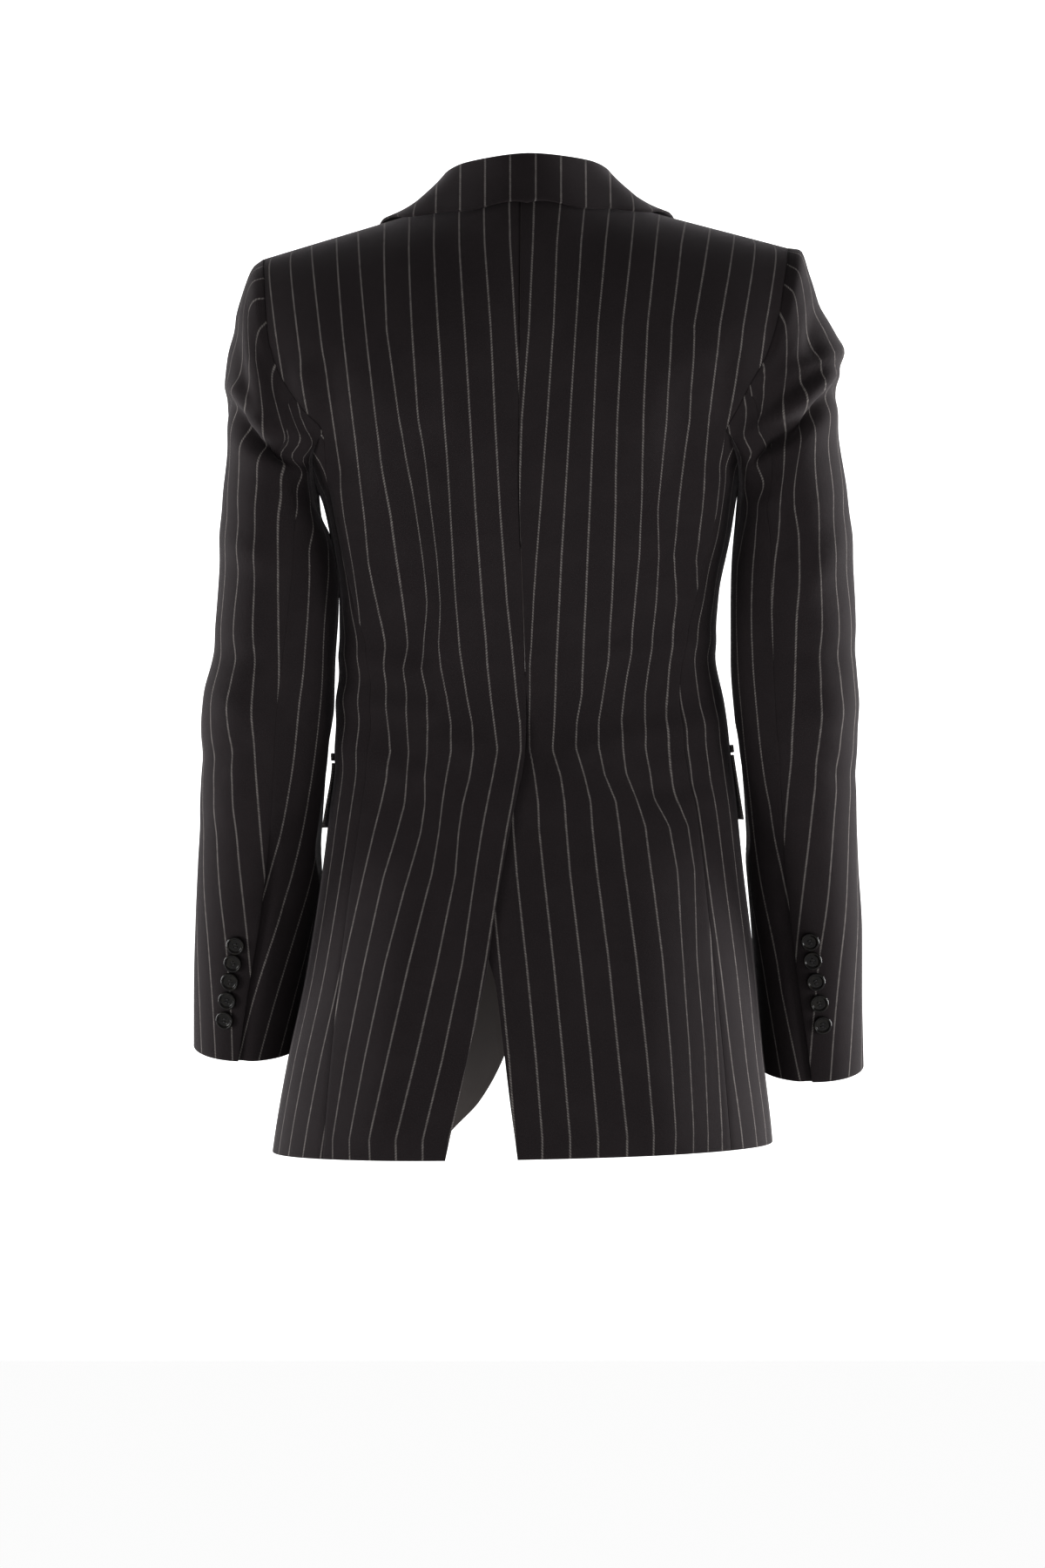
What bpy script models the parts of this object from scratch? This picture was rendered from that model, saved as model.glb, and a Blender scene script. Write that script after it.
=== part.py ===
"""A tailored blazer: single-breasted, notch lapels, two-piece sleeves, centre vent.

Metres. +Z is up, the front faces -Y and the wearer's left is +X. The origin is the middle of the
neck, level with the points where the collar meets the shoulders.
"""

import bmesh
import bpy
import numpy as np
from mathutils import Matrix, Vector

WALL = 0.0016  # a panel's cloth with its interlining
GAP = 0.0003  # between pieces that are sewn to each other
SEAM = 0.00026  # from a seam's line to the edge of either piece
LAYER = WALL + GAP  # from the middle of one wall to the middle of one that lies on it
UNDER_DEPTH = LAYER + 0.0012  # a lapped panel's step down, with room for its facets
LEAN = 0.02  # the garment hangs lower at the wearer's left, by this much for each metre across

NECK_HALF = 0.070  # across, from the centre to where the shoulder seam meets the collar
SHOULDER_HALF = 0.200
SHOULDER_SLOPE = 0.28
RIDGE_TOP = 0.0175  # height that the shoulder lines would reach at the centre
NECK_RISE = 0.020
NECK_RISE_SPREAD = 0.045
RIDGE_ROUND = 0.020
BACK_REACH = 0.150  # height over which the back fills out below the shoulder seam
FRONT_REACH = 0.200

HEM = -0.7150
BACK_NECK = 0.0060
VENT_TOP = -0.4100
BREAK_HEIGHT = -0.300  # where the lapels begin to turn
FRONT_LAP = 0.020  # each front passes the centre by this much
SEAM_TOP = {1: -0.1716, -1: -0.1772}  # height where the side seams meet the armhole, by side
SEAM_ROWS = 21  # a panel's rows below that height
YOKE_ROWS = 8  # and above it
UNDERARM_CELLS = 6
SLEEVE_CAP = 0.12  # share of a sleeve's length with closer rows
CAP_ROWS = 3
SLEEVE_ROWS = 21
BACK_CELLS = 9
SHOULDER_CELLS = 4
FALL_ROWS = 4  # the collar's, past its fold
LAPEL_ROWS = 4
FLAP_CELLS = 9
FLAP_ROWS = 3
NECK_CELLS = 5  # a back panel's columns that end on the back neck
COLLAR_CELLS = 8  # half the collar's columns round the back neck
ROLL_CELLS = 11  # a front's columns that end on the roll line

# The body's level sections. Half widths to the wearer's left and right, depths behind and before
# the shoulder line, and how square the section is behind and before (2 is an ellipse).
BODY = (
    # height, left, right, back, front, square_back, square_front
    (-0.740, 0.1965, 0.1885, 0.1285, 0.1390, 2.20, 2.20),
    (-0.713, 0.1935, 0.1870, 0.1270, 0.1380, 2.20, 2.20),
    (-0.650, 0.1830, 0.1800, 0.1220, 0.1340, 2.20, 2.20),
    (-0.580, 0.1680, 0.1735, 0.1130, 0.1290, 2.20, 2.20),
    (-0.500, 0.1555, 0.1640, 0.0980, 0.1230, 2.25, 2.20),
    (-0.455, 0.1500, 0.1595, 0.0885, 0.1195, 2.28, 2.20),
    (-0.420, 0.1460, 0.1555, 0.0820, 0.1180, 2.30, 2.20),
    (-0.380, 0.1450, 0.1505, 0.0770, 0.1170, 2.30, 2.20),
    (-0.340, 0.1425, 0.1433, 0.0820, 0.1190, 2.30, 2.20),
    (-0.298, 0.1425, 0.1460, 0.0940, 0.1230, 2.35, 2.20),
    (-0.255, 0.1480, 0.1545, 0.1070, 0.1260, 2.40, 2.25),
    (-0.205, 0.1600, 0.1635, 0.1165, 0.1250, 2.50, 2.30),
    (-0.165, 0.1880, 0.1860, 0.1190, 0.1220, 2.60, 2.35),
    (-0.130, 0.2140, 0.2110, 0.1180, 0.1180, 2.65, 2.40),
    (-0.086, 0.2290, 0.2280, 0.1140, 0.1120, 2.70, 2.40),
    (-0.034, 0.2350, 0.2350, 0.1100, 0.1050, 2.70, 2.40),
    (0.040, 0.2350, 0.2350, 0.1080, 0.1000, 2.70, 2.40),
)

# Where the side-back seam, and above it the armhole, runs on the back.
BACK_EDGE_LEFT = (
    # height, across
    (-0.740, 0.1540),
    (-0.640, 0.1460),
    (-0.550, 0.1370),
    (-0.460, 0.1250),
    (-0.410, 0.1185),
    (-0.375, 0.1165),
    (-0.335, 0.1200),
    (-0.300, 0.1290),
    (-0.250, 0.1415),
    (-0.205, 0.1490),
    (-0.1716, 0.1520),
    (-0.1534, 0.1658),
    (-0.1405, 0.1770),
    (-0.1212, 0.1880),
    (-0.1035, 0.1930),
    (-0.0758, 0.1963),
    (-0.0340, 0.2000),
)
BACK_EDGE_RIGHT = (
    # height, across
    (-0.740, 0.1540),
    (-0.640, 0.1460),
    (-0.550, 0.1370),
    (-0.460, 0.1270),
    (-0.410, 0.1175),
    (-0.375, 0.1145),
    (-0.335, 0.1185),
    (-0.300, 0.1270),
    (-0.250, 0.1405),
    (-0.210, 0.1470),
    (-0.1772, 0.1500),
    (-0.1647, 0.1560),
    (-0.1428, 0.1668),
    (-0.1205, 0.1795),
    (-0.0948, 0.1880),
    (-0.0748, 0.1917),
    (-0.0340, 0.1990),
)
# Where the side-front seam, and above it the armhole, runs on either front.
FRONT_EDGE = (
    # height, across
    (-0.740, 0.1500),
    (-0.640, 0.1440),
    (-0.550, 0.1350),
    (-0.460, 0.1240),
    (-0.380, 0.1170),
    (-0.300, 0.1210),
    (-0.250, 0.1360),
    (-0.205, 0.1520),
    (-0.175, 0.1600),
    (-0.150, 0.1655),
    (-0.120, 0.1720),
    (-0.090, 0.1810),
    (-0.060, 0.1910),
    (-0.034, 0.1995),
)
# The underarm's dip, from the side-back seam to the side-front seam.
UNDERARM = (
    # share, height
    (0.00, 0.0),
    (0.20, -0.018),
    (0.50, -0.036),
    (0.80, -0.020),
    (1.00, 0.0),
)
# The centre back seam, then the vent's edge on the wearer's left panel, which lies on top.
CENTRE_BACK = (
    # height, across
    (-0.740, 0.0655),
    (-0.720, 0.0615),
    (-0.640, 0.0440),
    (-0.570, 0.0290),
    (-0.534, 0.0240),
    (-0.458, 0.0100),
    (-0.411, 0.0013),
    (-0.390, 0.0006),
    (-0.200, 0.0058),
    (0.010, 0.0044),
)
# The vent's edge on the wearer's right panel, which lies beneath.
VENT_UNDER = (
    # height, across
    (-0.740, 0.0045),
    (-0.720, 0.0064),
    (-0.670, 0.0129),
    (-0.627, 0.0180),
    (-0.587, 0.0232),
    (-0.560, 0.0300),
    (-0.500, 0.0340),
    (-0.432, 0.0350),
)
# A front's edge below the break, measured past the centre line, cut away to the hem.
FRONT_CUT = (
    # height, across
    (-0.740, -0.0800),
    (-0.7150, -0.0620),
    (-0.690, -0.0380),
    (-0.650, -0.0165),
    (-0.590, 0.0020),
    (-0.510, 0.0150),
    (-0.430, 0.0200),
    (-0.300, 0.0200),
)

# Soft folds in the back's cloth, each along a line. A depth below nought is a valley.
BACK_FOLDS = (
    # across, height, to_across, to_height, spread, depth
    (0.074, -0.190, 0.082, -0.330, 0.018, -0.0045),
    (0.106, -0.200, 0.110, -0.300, 0.018, 0.0035),
    (0.045, -0.240, 0.048, -0.330, 0.016, 0.0015),
    (-0.118, -0.150, -0.122, -0.270, 0.018, -0.0040),
    (-0.085, -0.180, -0.090, -0.310, 0.020, 0.0025),
    (0.006, -0.300, 0.002, -0.410, 0.024, -0.0050),
    (0.085, -0.070, 0.085, -0.150, 0.045, 0.0030),
    (-0.080, -0.065, -0.080, -0.145, 0.045, 0.0030),
    (0.080, -0.352, 0.135, -0.338, 0.009, 0.0022),
    (0.075, -0.383, 0.135, -0.372, 0.010, 0.0026),
    (0.085, -0.430, 0.135, -0.408, 0.011, 0.0020),
    (-0.070, -0.342, -0.135, -0.332, 0.009, 0.0020),
    (-0.070, -0.404, -0.135, -0.396, 0.011, 0.0024),
    (-0.090, -0.445, -0.130, -0.440, 0.010, -0.0018),
    (0.085, -0.520, 0.105, -0.690, 0.026, 0.0035),
    (-0.080, -0.520, -0.095, -0.690, 0.028, 0.0030),
)

# A sleeve's outer line and inner line as seen from behind, from the cap to the cuff.
SLEEVE_OUT_LEFT = (
    # along, across, height
    (0.00, 0.2010, -0.0380),
    (0.02, 0.2085, -0.0435),
    (0.05, 0.2150, -0.0580),
    (0.10, 0.2229, -0.0865),
    (0.16, 0.2288, -0.1150),
    (0.22, 0.2305, -0.1450),
    (0.28, 0.2279, -0.1800),
    (0.34, 0.2315, -0.2200),
    (0.41, 0.2330, -0.2600),
    (0.48, 0.2355, -0.3000),
    (0.56, 0.2400, -0.3450),
    (0.64, 0.2480, -0.3950),
    (0.72, 0.2482, -0.4450),
    (0.80, 0.2518, -0.4950),
    (0.88, 0.2550, -0.5450),
    (0.94, 0.2570, -0.5900),
    (1.00, 0.2580, -0.6400),
)
SLEEVE_IN_LEFT = (
    # along, across, height
    (0.00, 0.1640, -0.2130),
    (0.10, 0.1590, -0.2350),
    (0.20, 0.1510, -0.2480),
    (0.30, 0.1450, -0.2640),
    (0.41, 0.1430, -0.2840),
    (0.48, 0.1442, -0.3080),
    (0.56, 0.1467, -0.3450),
    (0.64, 0.1482, -0.3950),
    (0.72, 0.1515, -0.4450),
    (0.80, 0.1560, -0.4950),
    (0.88, 0.1630, -0.5450),
    (0.94, 0.1700, -0.5900),
    (1.00, 0.1770, -0.6400),
)
SLEEVE_OUT_RIGHT = (
    # along, across, height
    (0.00, 0.2000, -0.0300),
    (0.02, 0.2085, -0.0310),
    (0.05, 0.2150, -0.0480),
    (0.10, 0.2227, -0.0707),
    (0.16, 0.2400, -0.1085),
    (0.22, 0.2382, -0.1360),
    (0.28, 0.2370, -0.1670),
    (0.34, 0.2437, -0.2150),
    (0.41, 0.2470, -0.2560),
    (0.48, 0.2497, -0.3000),
    (0.56, 0.2510, -0.3450),
    (0.64, 0.2516, -0.3950),
    (0.72, 0.2516, -0.4450),
    (0.80, 0.2540, -0.4980),
    (0.88, 0.2580, -0.5500),
    (0.94, 0.2590, -0.6000),
    (1.00, 0.2610, -0.6560),
)
SLEEVE_IN_RIGHT = (
    # along, across, height
    (0.00, 0.1640, -0.2130),
    (0.10, 0.1610, -0.2350),
    (0.20, 0.1590, -0.2480),
    (0.30, 0.1575, -0.2640),
    (0.41, 0.1565, -0.2840),
    (0.48, 0.1562, -0.3080),
    (0.56, 0.1562, -0.3450),
    (0.64, 0.1600, -0.3950),
    (0.72, 0.1650, -0.4450),
    (0.80, 0.1690, -0.4980),
    (0.88, 0.1740, -0.5500),
    (0.94, 0.1775, -0.6000),
    (1.00, 0.1800, -0.6560),
)
# Either sleeve's middle and half depth, front to back, and how far its back edge dips.
SLEEVE_DEPTH = (
    # along, middle, half_depth, dip
    (0.00, -0.002, 0.068, 0.000),
    (0.10, 0.000, 0.068, 0.000),
    (0.20, 0.004, 0.066, 0.000),
    (0.30, 0.007, 0.063, 0.000),
    (0.41, 0.010, 0.059, 0.000),
    (0.56, 0.012, 0.053, 0.000),
    (0.64, 0.010, 0.050, -0.002),
    (0.80, -0.014, 0.046, -0.008),
    (1.00, -0.052, 0.040, -0.011),
)
# The hindarm seam's place round each sleeve, in degrees from its outer line towards the back.
HINDARM = (
    # along, left, right
    (0.00, 118.0, 118.0),
    (0.30, 108.0, 114.0),
    (0.60, 101.0, 112.0),
    (0.85, 96.0, 110.0),
    (1.00, 84.0, 92.0),
)
FOREARM = 232.0  # the forearm seam, the same way round
SLEEVE_FOLDS_LEFT = (
    # along, degrees, to_along, to_degrees, spread, depth
    (0.06, 30.0, 0.30, 110.0, 0.014, 0.0050),
    (0.16, 30.0, 0.36, 112.0, 0.012, -0.0055),
    (0.26, 40.0, 0.44, 120.0, 0.013, 0.0035),
    (0.60, 20.0, 0.64, 110.0, 0.014, 0.0030),
    (0.69, 30.0, 0.71, 120.0, 0.012, -0.0025),
)
SLEEVE_FOLDS_RIGHT = (
    # along, degrees, to_along, to_degrees, spread, depth
    (0.14, 10.0, 0.26, 95.0, 0.012, -0.0045),
    (0.20, 10.0, 0.33, 100.0, 0.014, 0.0050),
    (0.27, 5.0, 0.42, 105.0, 0.012, -0.0050),
    (0.34, 20.0, 0.46, 115.0, 0.014, 0.0030),
    (0.62, 30.0, 0.65, 120.0, 0.014, 0.0025),
)

# The collar, from the centre back to the notch: how far along its neck seam each row is, how far
# the fold leans in from the seam and rises over it, and where the free edge lies.
COLLAR = (
    # along, lean_in, rise, edge_across, edge_depth
    (0.00, 0.0130, 0.0285, 0.0000, 0.0735),
    (0.16, 0.0125, 0.0280, 0.0330, 0.0640),
    (0.32, 0.0110, 0.0270, 0.0640, 0.0450),
    (0.48, 0.0100, 0.0220, 0.0900, 0.0300),
    (0.60, 0.0095, 0.0170, 0.1060, 0.0020),
    (0.73, 0.0075, 0.0130, 0.1150, -0.0240),
    (0.87, 0.0050, 0.0070, 0.1190, -0.0440),
    (1.00, 0.0030, 0.0010, 0.1190, -0.0590),
)
# The free edge's height where it lies on the front.
COLLAR_FRONT = (
    # along, edge_height
    (0.60, -0.010),
    (0.73, -0.020),
    (0.87, -0.040),
    (1.00, -0.058),
)
# The turn of a lapel, across from its fold: how far along the cloth, or past its edge where below
# nought, and how far off it.
TURN = (
    # shift, out
    (-0.0024, -0.0002),
    (-0.0027, 0.0014),
    (-0.0010, 0.0026),
)
COLLAR_TURN = (
    # shift, out
    (-0.0012, -0.0004),
    (-0.0020, 0.0003),
    (-0.0026, 0.0012),
    (-0.0026, 0.0020),
    (-0.0022, 0.0027),
    (-0.0012, 0.0033),
    (0.0010, 0.0036),
)
ACROSS_ROLL = np.array([0.944, -0.330])  # square to the roll line, outward
STAND_SHARES = (0.0, 0.45, 0.85)  # the stand's rows, from its seam up to the fold
FOLD_ANGLES = (25.0, 70.0, 115.0, 155.0)  # and the rows round the fold
NOTCH_SHARE = 0.56  # where collar and lapel part, along the lapel's top edge
FOLD_ROUND = 0.0030  # radius of the collar's turn

FLAP_FROM = 86.0  # degrees round the body from the centre back
FLAP_TO = 138.0
FLAP_TOP = -0.4190
FLAP_TALL = 0.050
FLAP_STANDS = 0.0022  # how far the flap's lower edge stands off at its back end
FLAP_SITS = 0.0004  # the flap's upper edge off the front, past a layer, so that its facets clear
WELT_TALL = 0.006
WELT_PASSES = 0.5  # degrees that the jetting runs past either end of the flap
WELT_SITS = 0.0009

COLLAR_REST = 0.0022  # how far the collar's fall stays off the shoulders
COLLAR_LIES = 0.0014  # and off the fronts
LAPEL_LIES = 0.0008
LAPEL_BULGE = 0.0022  # more than that, just past the lapel's fold
COLLAR_SITS = 0.5 * WALL + GAP + 0.0006  # its seam above the back neck's edge
FALL_SETTLES = 0.004  # height over which the fall comes down to rest
CLEAR = 0.0008  # how far the sleeves stay off the body
FLAP_ROOM = 0.0075  # and how much further, beside a flap
FLAP_REACH = 0.075  # from the flap's middle to where that ends, up and down
SLEEVE_RADIUS = 0.046
CUFF_VENT = 0.80  # share of the sleeve's length where its vent starts
CUFF_UNDERLAP = 22.0  # degrees that the under sleeve passes beneath the top sleeve
LAPEL_TIP = (0.1280, -0.0890)
GORGE_CELLS = 3  # the roll line's first cells belong to the collar

CUFF_BUTTONS = (
    # along_left, along_right
    (0.8890, 0.8775),
    (0.9075, 0.8965),
    (0.9260, 0.9155),
    (0.9445, 0.9345),
    (0.9630, 0.9530),
)
BUTTONS_BEFORE = 19.0  # degrees from the cuff's vent to the middle of its buttons
FRONT_BUTTONS = (-0.306, -0.406)  # heights
CUFF_BUTTON = 0.0072  # radius
CUFF_BUTTON_TALL = 0.0030
FRONT_BUTTON = 0.0105
FRONT_BUTTON_TALL = 0.0038
BUTTON_SEAT = 0.5 * WALL + GAP + 0.0002  # from a wall's middle to the button's underside
BUTTON_STEPS = 14

cloth_colour = (0.018, 0.016, 0.020, 1.0)
button_colour = (0.012, 0.011, 0.013, 1.0)


def table(rows):
    return np.array(rows, float)


def smooth(rows, column, at):
    """Reads a column of a table between its rows, with a cubic that never overshoots them."""
    rows = table(rows)
    knots, values = rows[:, 0], rows[:, column]
    steps = np.diff(knots)
    slopes = np.diff(values) / steps
    tangents = np.concatenate([slopes[:1], np.zeros(len(slopes) - 1), slopes[-1:]])
    for i in range(1, len(slopes)):
        if slopes[i - 1] * slopes[i] > 0:
            before = 2 * steps[i] + steps[i - 1]
            after = steps[i] + 2 * steps[i - 1]
            tangents[i] = (before + after) / (before / slopes[i - 1] + after / slopes[i])
    at = np.clip(at, knots[0], knots[-1])
    i = np.clip(np.searchsorted(knots, at, side="right") - 1, 0, len(steps) - 1)
    u = (at - knots[i]) / steps[i]
    left = (1 + 2 * u) * (1 - u) ** 2 * values[i] + u * (1 - u) ** 2 * steps[i] * tangents[i]
    right = u * u * (3 - 2 * u) * values[i + 1] - u * u * (1 - u) * steps[i] * tangents[i + 1]
    return left + right


def ease(value):
    value = np.clip(value, 0.0, 1.0)
    return value * value * (3 - 2 * value)


def shoulder_line(across):
    """Height of the shoulder's ridge."""
    line = RIDGE_TOP - SHOULDER_SLOPE * (np.sqrt(across**2 + RIDGE_ROUND**2) - RIDGE_ROUND)
    return line + NECK_RISE * np.exp(-((across / NECK_RISE_SPREAD) ** 2))


def section(height, behind, to_left):
    half = np.where(to_left, smooth(BODY, 1, height), smooth(BODY, 2, height))
    depth = np.where(behind, smooth(BODY, 3, height), smooth(BODY, 4, height))
    square = np.where(behind, smooth(BODY, 5, height), smooth(BODY, 6, height))
    return half, depth, square


def turn_of(across, height, behind):
    """The angle round the body, from the centre back, of a point that far across."""
    half, depth, square = section(height, behind, across >= 0)
    share = np.clip(np.abs(across) / half, 0.0, 1.0)
    full = depth * (1 - share**square) ** (1 / square)
    return np.arctan2(across, np.where(behind, full, -full))


def bare_skin(turn, height):
    """The body's plain form: a square-shouldered section that closes to the shoulder's ridge."""
    sine, cosine = np.sin(turn), np.cos(turn)
    behind = cosine > 0
    half, depth, square = section(height, behind, sine >= 0)
    radius = ((np.abs(sine) / half) ** square + (np.abs(cosine) / depth) ** square) ** (-1 / square)
    across = radius * sine
    reach = np.where(behind, BACK_REACH, FRONT_REACH)
    drop = np.clip((shoulder_line(across) - height) / reach, 0.0, 1.0)
    swell = np.sqrt(1 - (1 - drop) ** 2)
    return np.stack([across, radius * cosine * swell, height], axis=-1)


def inside_shoulder(across, depth, height, behind, to_left):
    """Above nought within the body's upper part, and smooth right over the shoulder's ridge."""
    half, reach_back, square = section(height, behind, to_left)
    drop = (shoulder_line(across) - height) / np.where(behind, BACK_REACH, FRONT_REACH)
    level = np.clip(1 - (np.abs(across) / half) ** square, 1e-6, None) ** (2 / square)
    return (1 - np.clip(1 - drop, 0.0, None) ** 2) * level - (depth / reach_back) ** 2


def skin_normal(turn, height):
    turn, height = np.broadcast_arrays(np.asarray(turn, float), np.asarray(height, float))
    step = 0.0005
    round_body = bare_skin(turn + step, height) - bare_skin(turn - step, height)
    upward = bare_skin(turn, height + step) - bare_skin(turn, height - step)
    normal = np.cross(upward, round_body)
    point = bare_skin(turn, height)
    behind, to_left = np.cos(turn) > 0, np.sin(turn) >= 0
    slope = []
    for k in range(3):
        move = step * np.eye(3)[k]
        before = inside_shoulder(*np.moveaxis(point - move, -1, 0), behind, to_left)
        after = inside_shoulder(*np.moveaxis(point + move, -1, 0), behind, to_left)
        slope.append(before - after)
    drop = (shoulder_line(point[..., 0]) - height) / np.where(behind, BACK_REACH, FRONT_REACH)
    half = section(height, behind, to_left)[0]
    upper = (drop < 0.4) & (np.abs(point[..., 0]) < 0.93 * half)
    normal = np.where(upper[..., None], np.stack(slope, axis=-1), normal)
    return normal / np.linalg.norm(normal, axis=-1, keepdims=True)


def fold_depth(points, folds):
    """How far the folds move each point, from its distance to each fold's line."""
    total = np.zeros(points.shape[:-1])
    for from_x, from_z, to_x, to_z, spread, depth in folds:
        start = np.array([from_x, from_z])
        along = np.array([to_x - from_x, to_z - from_z])
        offset = points[..., [0, 2]] - start
        share = np.clip(offset @ along / (along @ along), 0.0, 1.0)
        away = np.linalg.norm(offset - share[..., None] * along, axis=-1)
        total += depth * np.exp(-((away / spread) ** 2))
    return total


def skin(turn, height, out=0.0):
    """A point of the worn form, moved out by a distance."""
    turn, height = np.broadcast_arrays(np.asarray(turn, float), np.asarray(height, float))
    points = bare_skin(turn, height)
    folds = fold_depth(points, BACK_FOLDS) * ease((shoulder_line(points[..., 0]) - height) / 0.035)
    amount = np.where(np.cos(turn) > 0, folds, 0.0) + out
    return points + amount[..., None] * skin_normal(turn, height)


def lean(points):
    points = np.array(points, float)
    points[..., 2] -= LEAN * points[..., 0]
    return points


def patch(bottom, top, start, end, along):
    """Fills between four edges given as rows of (across, height)."""
    along = np.asarray(along)[:, None, None]
    level = (1 - along) * bottom[None] + along * top[None]
    top_share, bottom_share = cumulative_share(top), cumulative_share(bottom)
    share = top_share[None, :, None] * along + bottom_share[None, :, None] * (1 - along)
    sides = (1 - share) * start[:, None] + share * end[:, None]
    corners = (1 - share) * ((1 - along) * bottom[0] + along * top[0])
    corners = corners + share * ((1 - along) * bottom[-1] + along * top[-1])
    return level + sides - corners


def cumulative_share(points):
    lengths = np.concatenate([[0.0], np.cumsum(np.linalg.norm(np.diff(points, axis=0), axis=1))])
    return lengths / lengths[-1]


def seam_shift(across, height, behind, amount):
    """Moves a point of the section along the cloth by an amount, as a change of its distance across."""
    step = 0.0005
    near = bare_skin(turn_of(across - step, height, behind), height)
    far = bare_skin(turn_of(across + step, height, behind), height)
    stretch = np.linalg.norm(far - near, axis=-1) / (2 * step)
    return amount / stretch


def panel_heights(side):
    """Heights of a panel's rows at its outer edge, close together where it turns over the shoulder."""
    top = float(shoulder_line(np.array(SHOULDER_HALF)))
    lower = np.linspace(HEM, SEAM_TOP[side], SEAM_ROWS + 1)
    angles = np.linspace(0.0, np.pi / 2, YOKE_ROWS + 1)[1:]
    return np.concatenate([lower, SEAM_TOP[side] + (top - SEAM_TOP[side]) * np.sin(angles)])


def outward_edge(rows, heights, side, behind, shift):
    """The seam and the armhole above it, as (across, height), from the hem to the shoulder."""
    heights = np.array(heights)
    across = side * smooth(rows, 1, heights)
    across = across + side * seam_shift(across, heights, behind, shift)
    across[-1] = side * (SHOULDER_HALF - abs(shift))
    heights[-1] = ridge_height(across[-1], behind)
    return np.stack([across, heights], axis=-1)


def ridge_height(across, behind):
    """Height of the shoulder seam's edge on one panel: half a gap down from the ridge."""
    ridge = shoulder_line(across)
    half, depth, square = section(ridge, behind, across >= 0)
    full = depth * (1 - (np.abs(across) / half) ** square) ** (1 / square)
    reach = np.where(behind, BACK_REACH, FRONT_REACH)
    return ridge - reach * (1 - np.cos(np.arcsin(SEAM / full)))


def centre_back(heights):
    return smooth(CENTRE_BACK, 1, heights)


def right_back_edge(heights):
    """The centre seam on the wearer's right panel, then the underlap of the vent."""
    under = smooth(VENT_UNDER, 1, heights)
    opened = ease((VENT_TOP - heights) / 0.022)
    return (centre_back(heights) - SEAM) * (1 - opened) + under * opened


def back_points(side, across_count):
    """One back panel's points, (rows, columns, 3)."""
    rows = BACK_EDGE_LEFT if side > 0 else BACK_EDGE_RIGHT
    heights = panel_heights(side)
    along = (heights - HEM) / (heights[-1] - HEM)
    end = outward_edge(rows, heights, side, True, -SEAM)
    neck = neck_across(NECK_CELLS)
    shoulder = np.linspace(NECK_HALF, SHOULDER_HALF - SEAM, across_count - NECK_CELLS + 1)[1:]
    top_across = side * np.concatenate([neck, shoulder])
    seam_height = ridge_height(top_across, np.array(True))
    top_height = np.where(np.abs(top_across) < NECK_HALF - 1e-6, neck_height(top_across), seam_height)
    top = np.stack([top_across, top_height], axis=-1)
    heights = HEM + (top_height[0] - HEM) * along
    inner = centre_back(heights) + SEAM if side > 0 else right_back_edge(heights)
    top[0, 0] = inner[-1]
    start = np.stack([inner, heights], axis=-1)
    bottom_across = np.linspace(inner[0], end[0, 0], across_count + 1)
    bottom = np.stack([bottom_across, np.full(across_count + 1, HEM)], axis=-1)
    grid = patch(bottom, top, start, end, along)
    across, height = grid[..., 0], grid[..., 1]
    return lean(back_skin(side, across, height))


def neck_across(cells):
    """Distances across of points evenly spaced along half the back neck's seam."""
    across = NECK_HALF * np.sin(np.linspace(0.0, np.pi / 2, 200))
    height = neck_height(across)
    share = cumulative_share(skin(turn_of(across, height, np.array(True)), height))
    return np.interp(np.linspace(0.0, 1.0, cells + 1), share, across)


def neck_height(across):
    """Height of the back neck's seam, beneath the collar."""
    return BACK_NECK + (shoulder_line(NECK_HALF) - BACK_NECK) * (np.abs(across) / NECK_HALF) ** 2


def back_skin(side, across, height):
    """The back, with the wearer's right panel stepping down beneath the left one at the vent."""
    out = np.zeros(across.shape)
    if side < 0:
        near = ease((across - centre_back(height) + 0.040) / 0.030)
        out = -UNDER_DEPTH * near * ease((-0.365 - height) / 0.036)
    return skin(turn_of(across, height, np.array(True)), height, out)


def underarm_height(share, side):
    return SEAM_TOP[side] + smooth(UNDERARM, 1, share)


def side_points(side):
    """A side panel's points, from its back seam to its front seam."""
    rows = BACK_EDGE_LEFT if side > 0 else BACK_EDGE_RIGHT
    share = np.linspace(0.0, 1.0, UNDERARM_CELLS + 1)[None, :]
    top = underarm_height(share, side)
    along = np.linspace(0.0, 1.0, SEAM_ROWS + 1)[:, None]
    height = HEM + (top - HEM) * along
    behind = np.array(True)
    back = side * smooth(rows, 1, height)
    back = back + side * seam_shift(back, height, behind, SEAM)
    front = side * smooth(FRONT_EDGE, 1, height)
    front = front + side * seam_shift(front, height, ~behind, SEAM)
    from_turn = turn_of(back, height, behind)
    to_turn = turn_of(front, height, ~behind)
    return lean(skin(from_turn + (to_turn - from_turn) * share, height))


def roll_line(share):
    """The line a lapel turns on, from the collar's end of the shoulder to the break."""
    across = NECK_HALF + (-FRONT_LAP - NECK_HALF) * share
    start = float(shoulder_line(np.array(NECK_HALF)))
    return np.stack([across, start + (BREAK_HEIGHT - start) * share], axis=-1)


def roll_shares(cells):
    """Places on the roll line that are evenly spaced along the cloth."""
    fine = np.linspace(0.0, 1.0, 400)
    roll = roll_line(fine)
    points = skin(turn_of(roll[:, 0], roll[:, 1], np.array(False)), roll[:, 1])
    return np.interp(np.linspace(0.0, 1.0, cells + 1), cumulative_share(points), fine)


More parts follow.
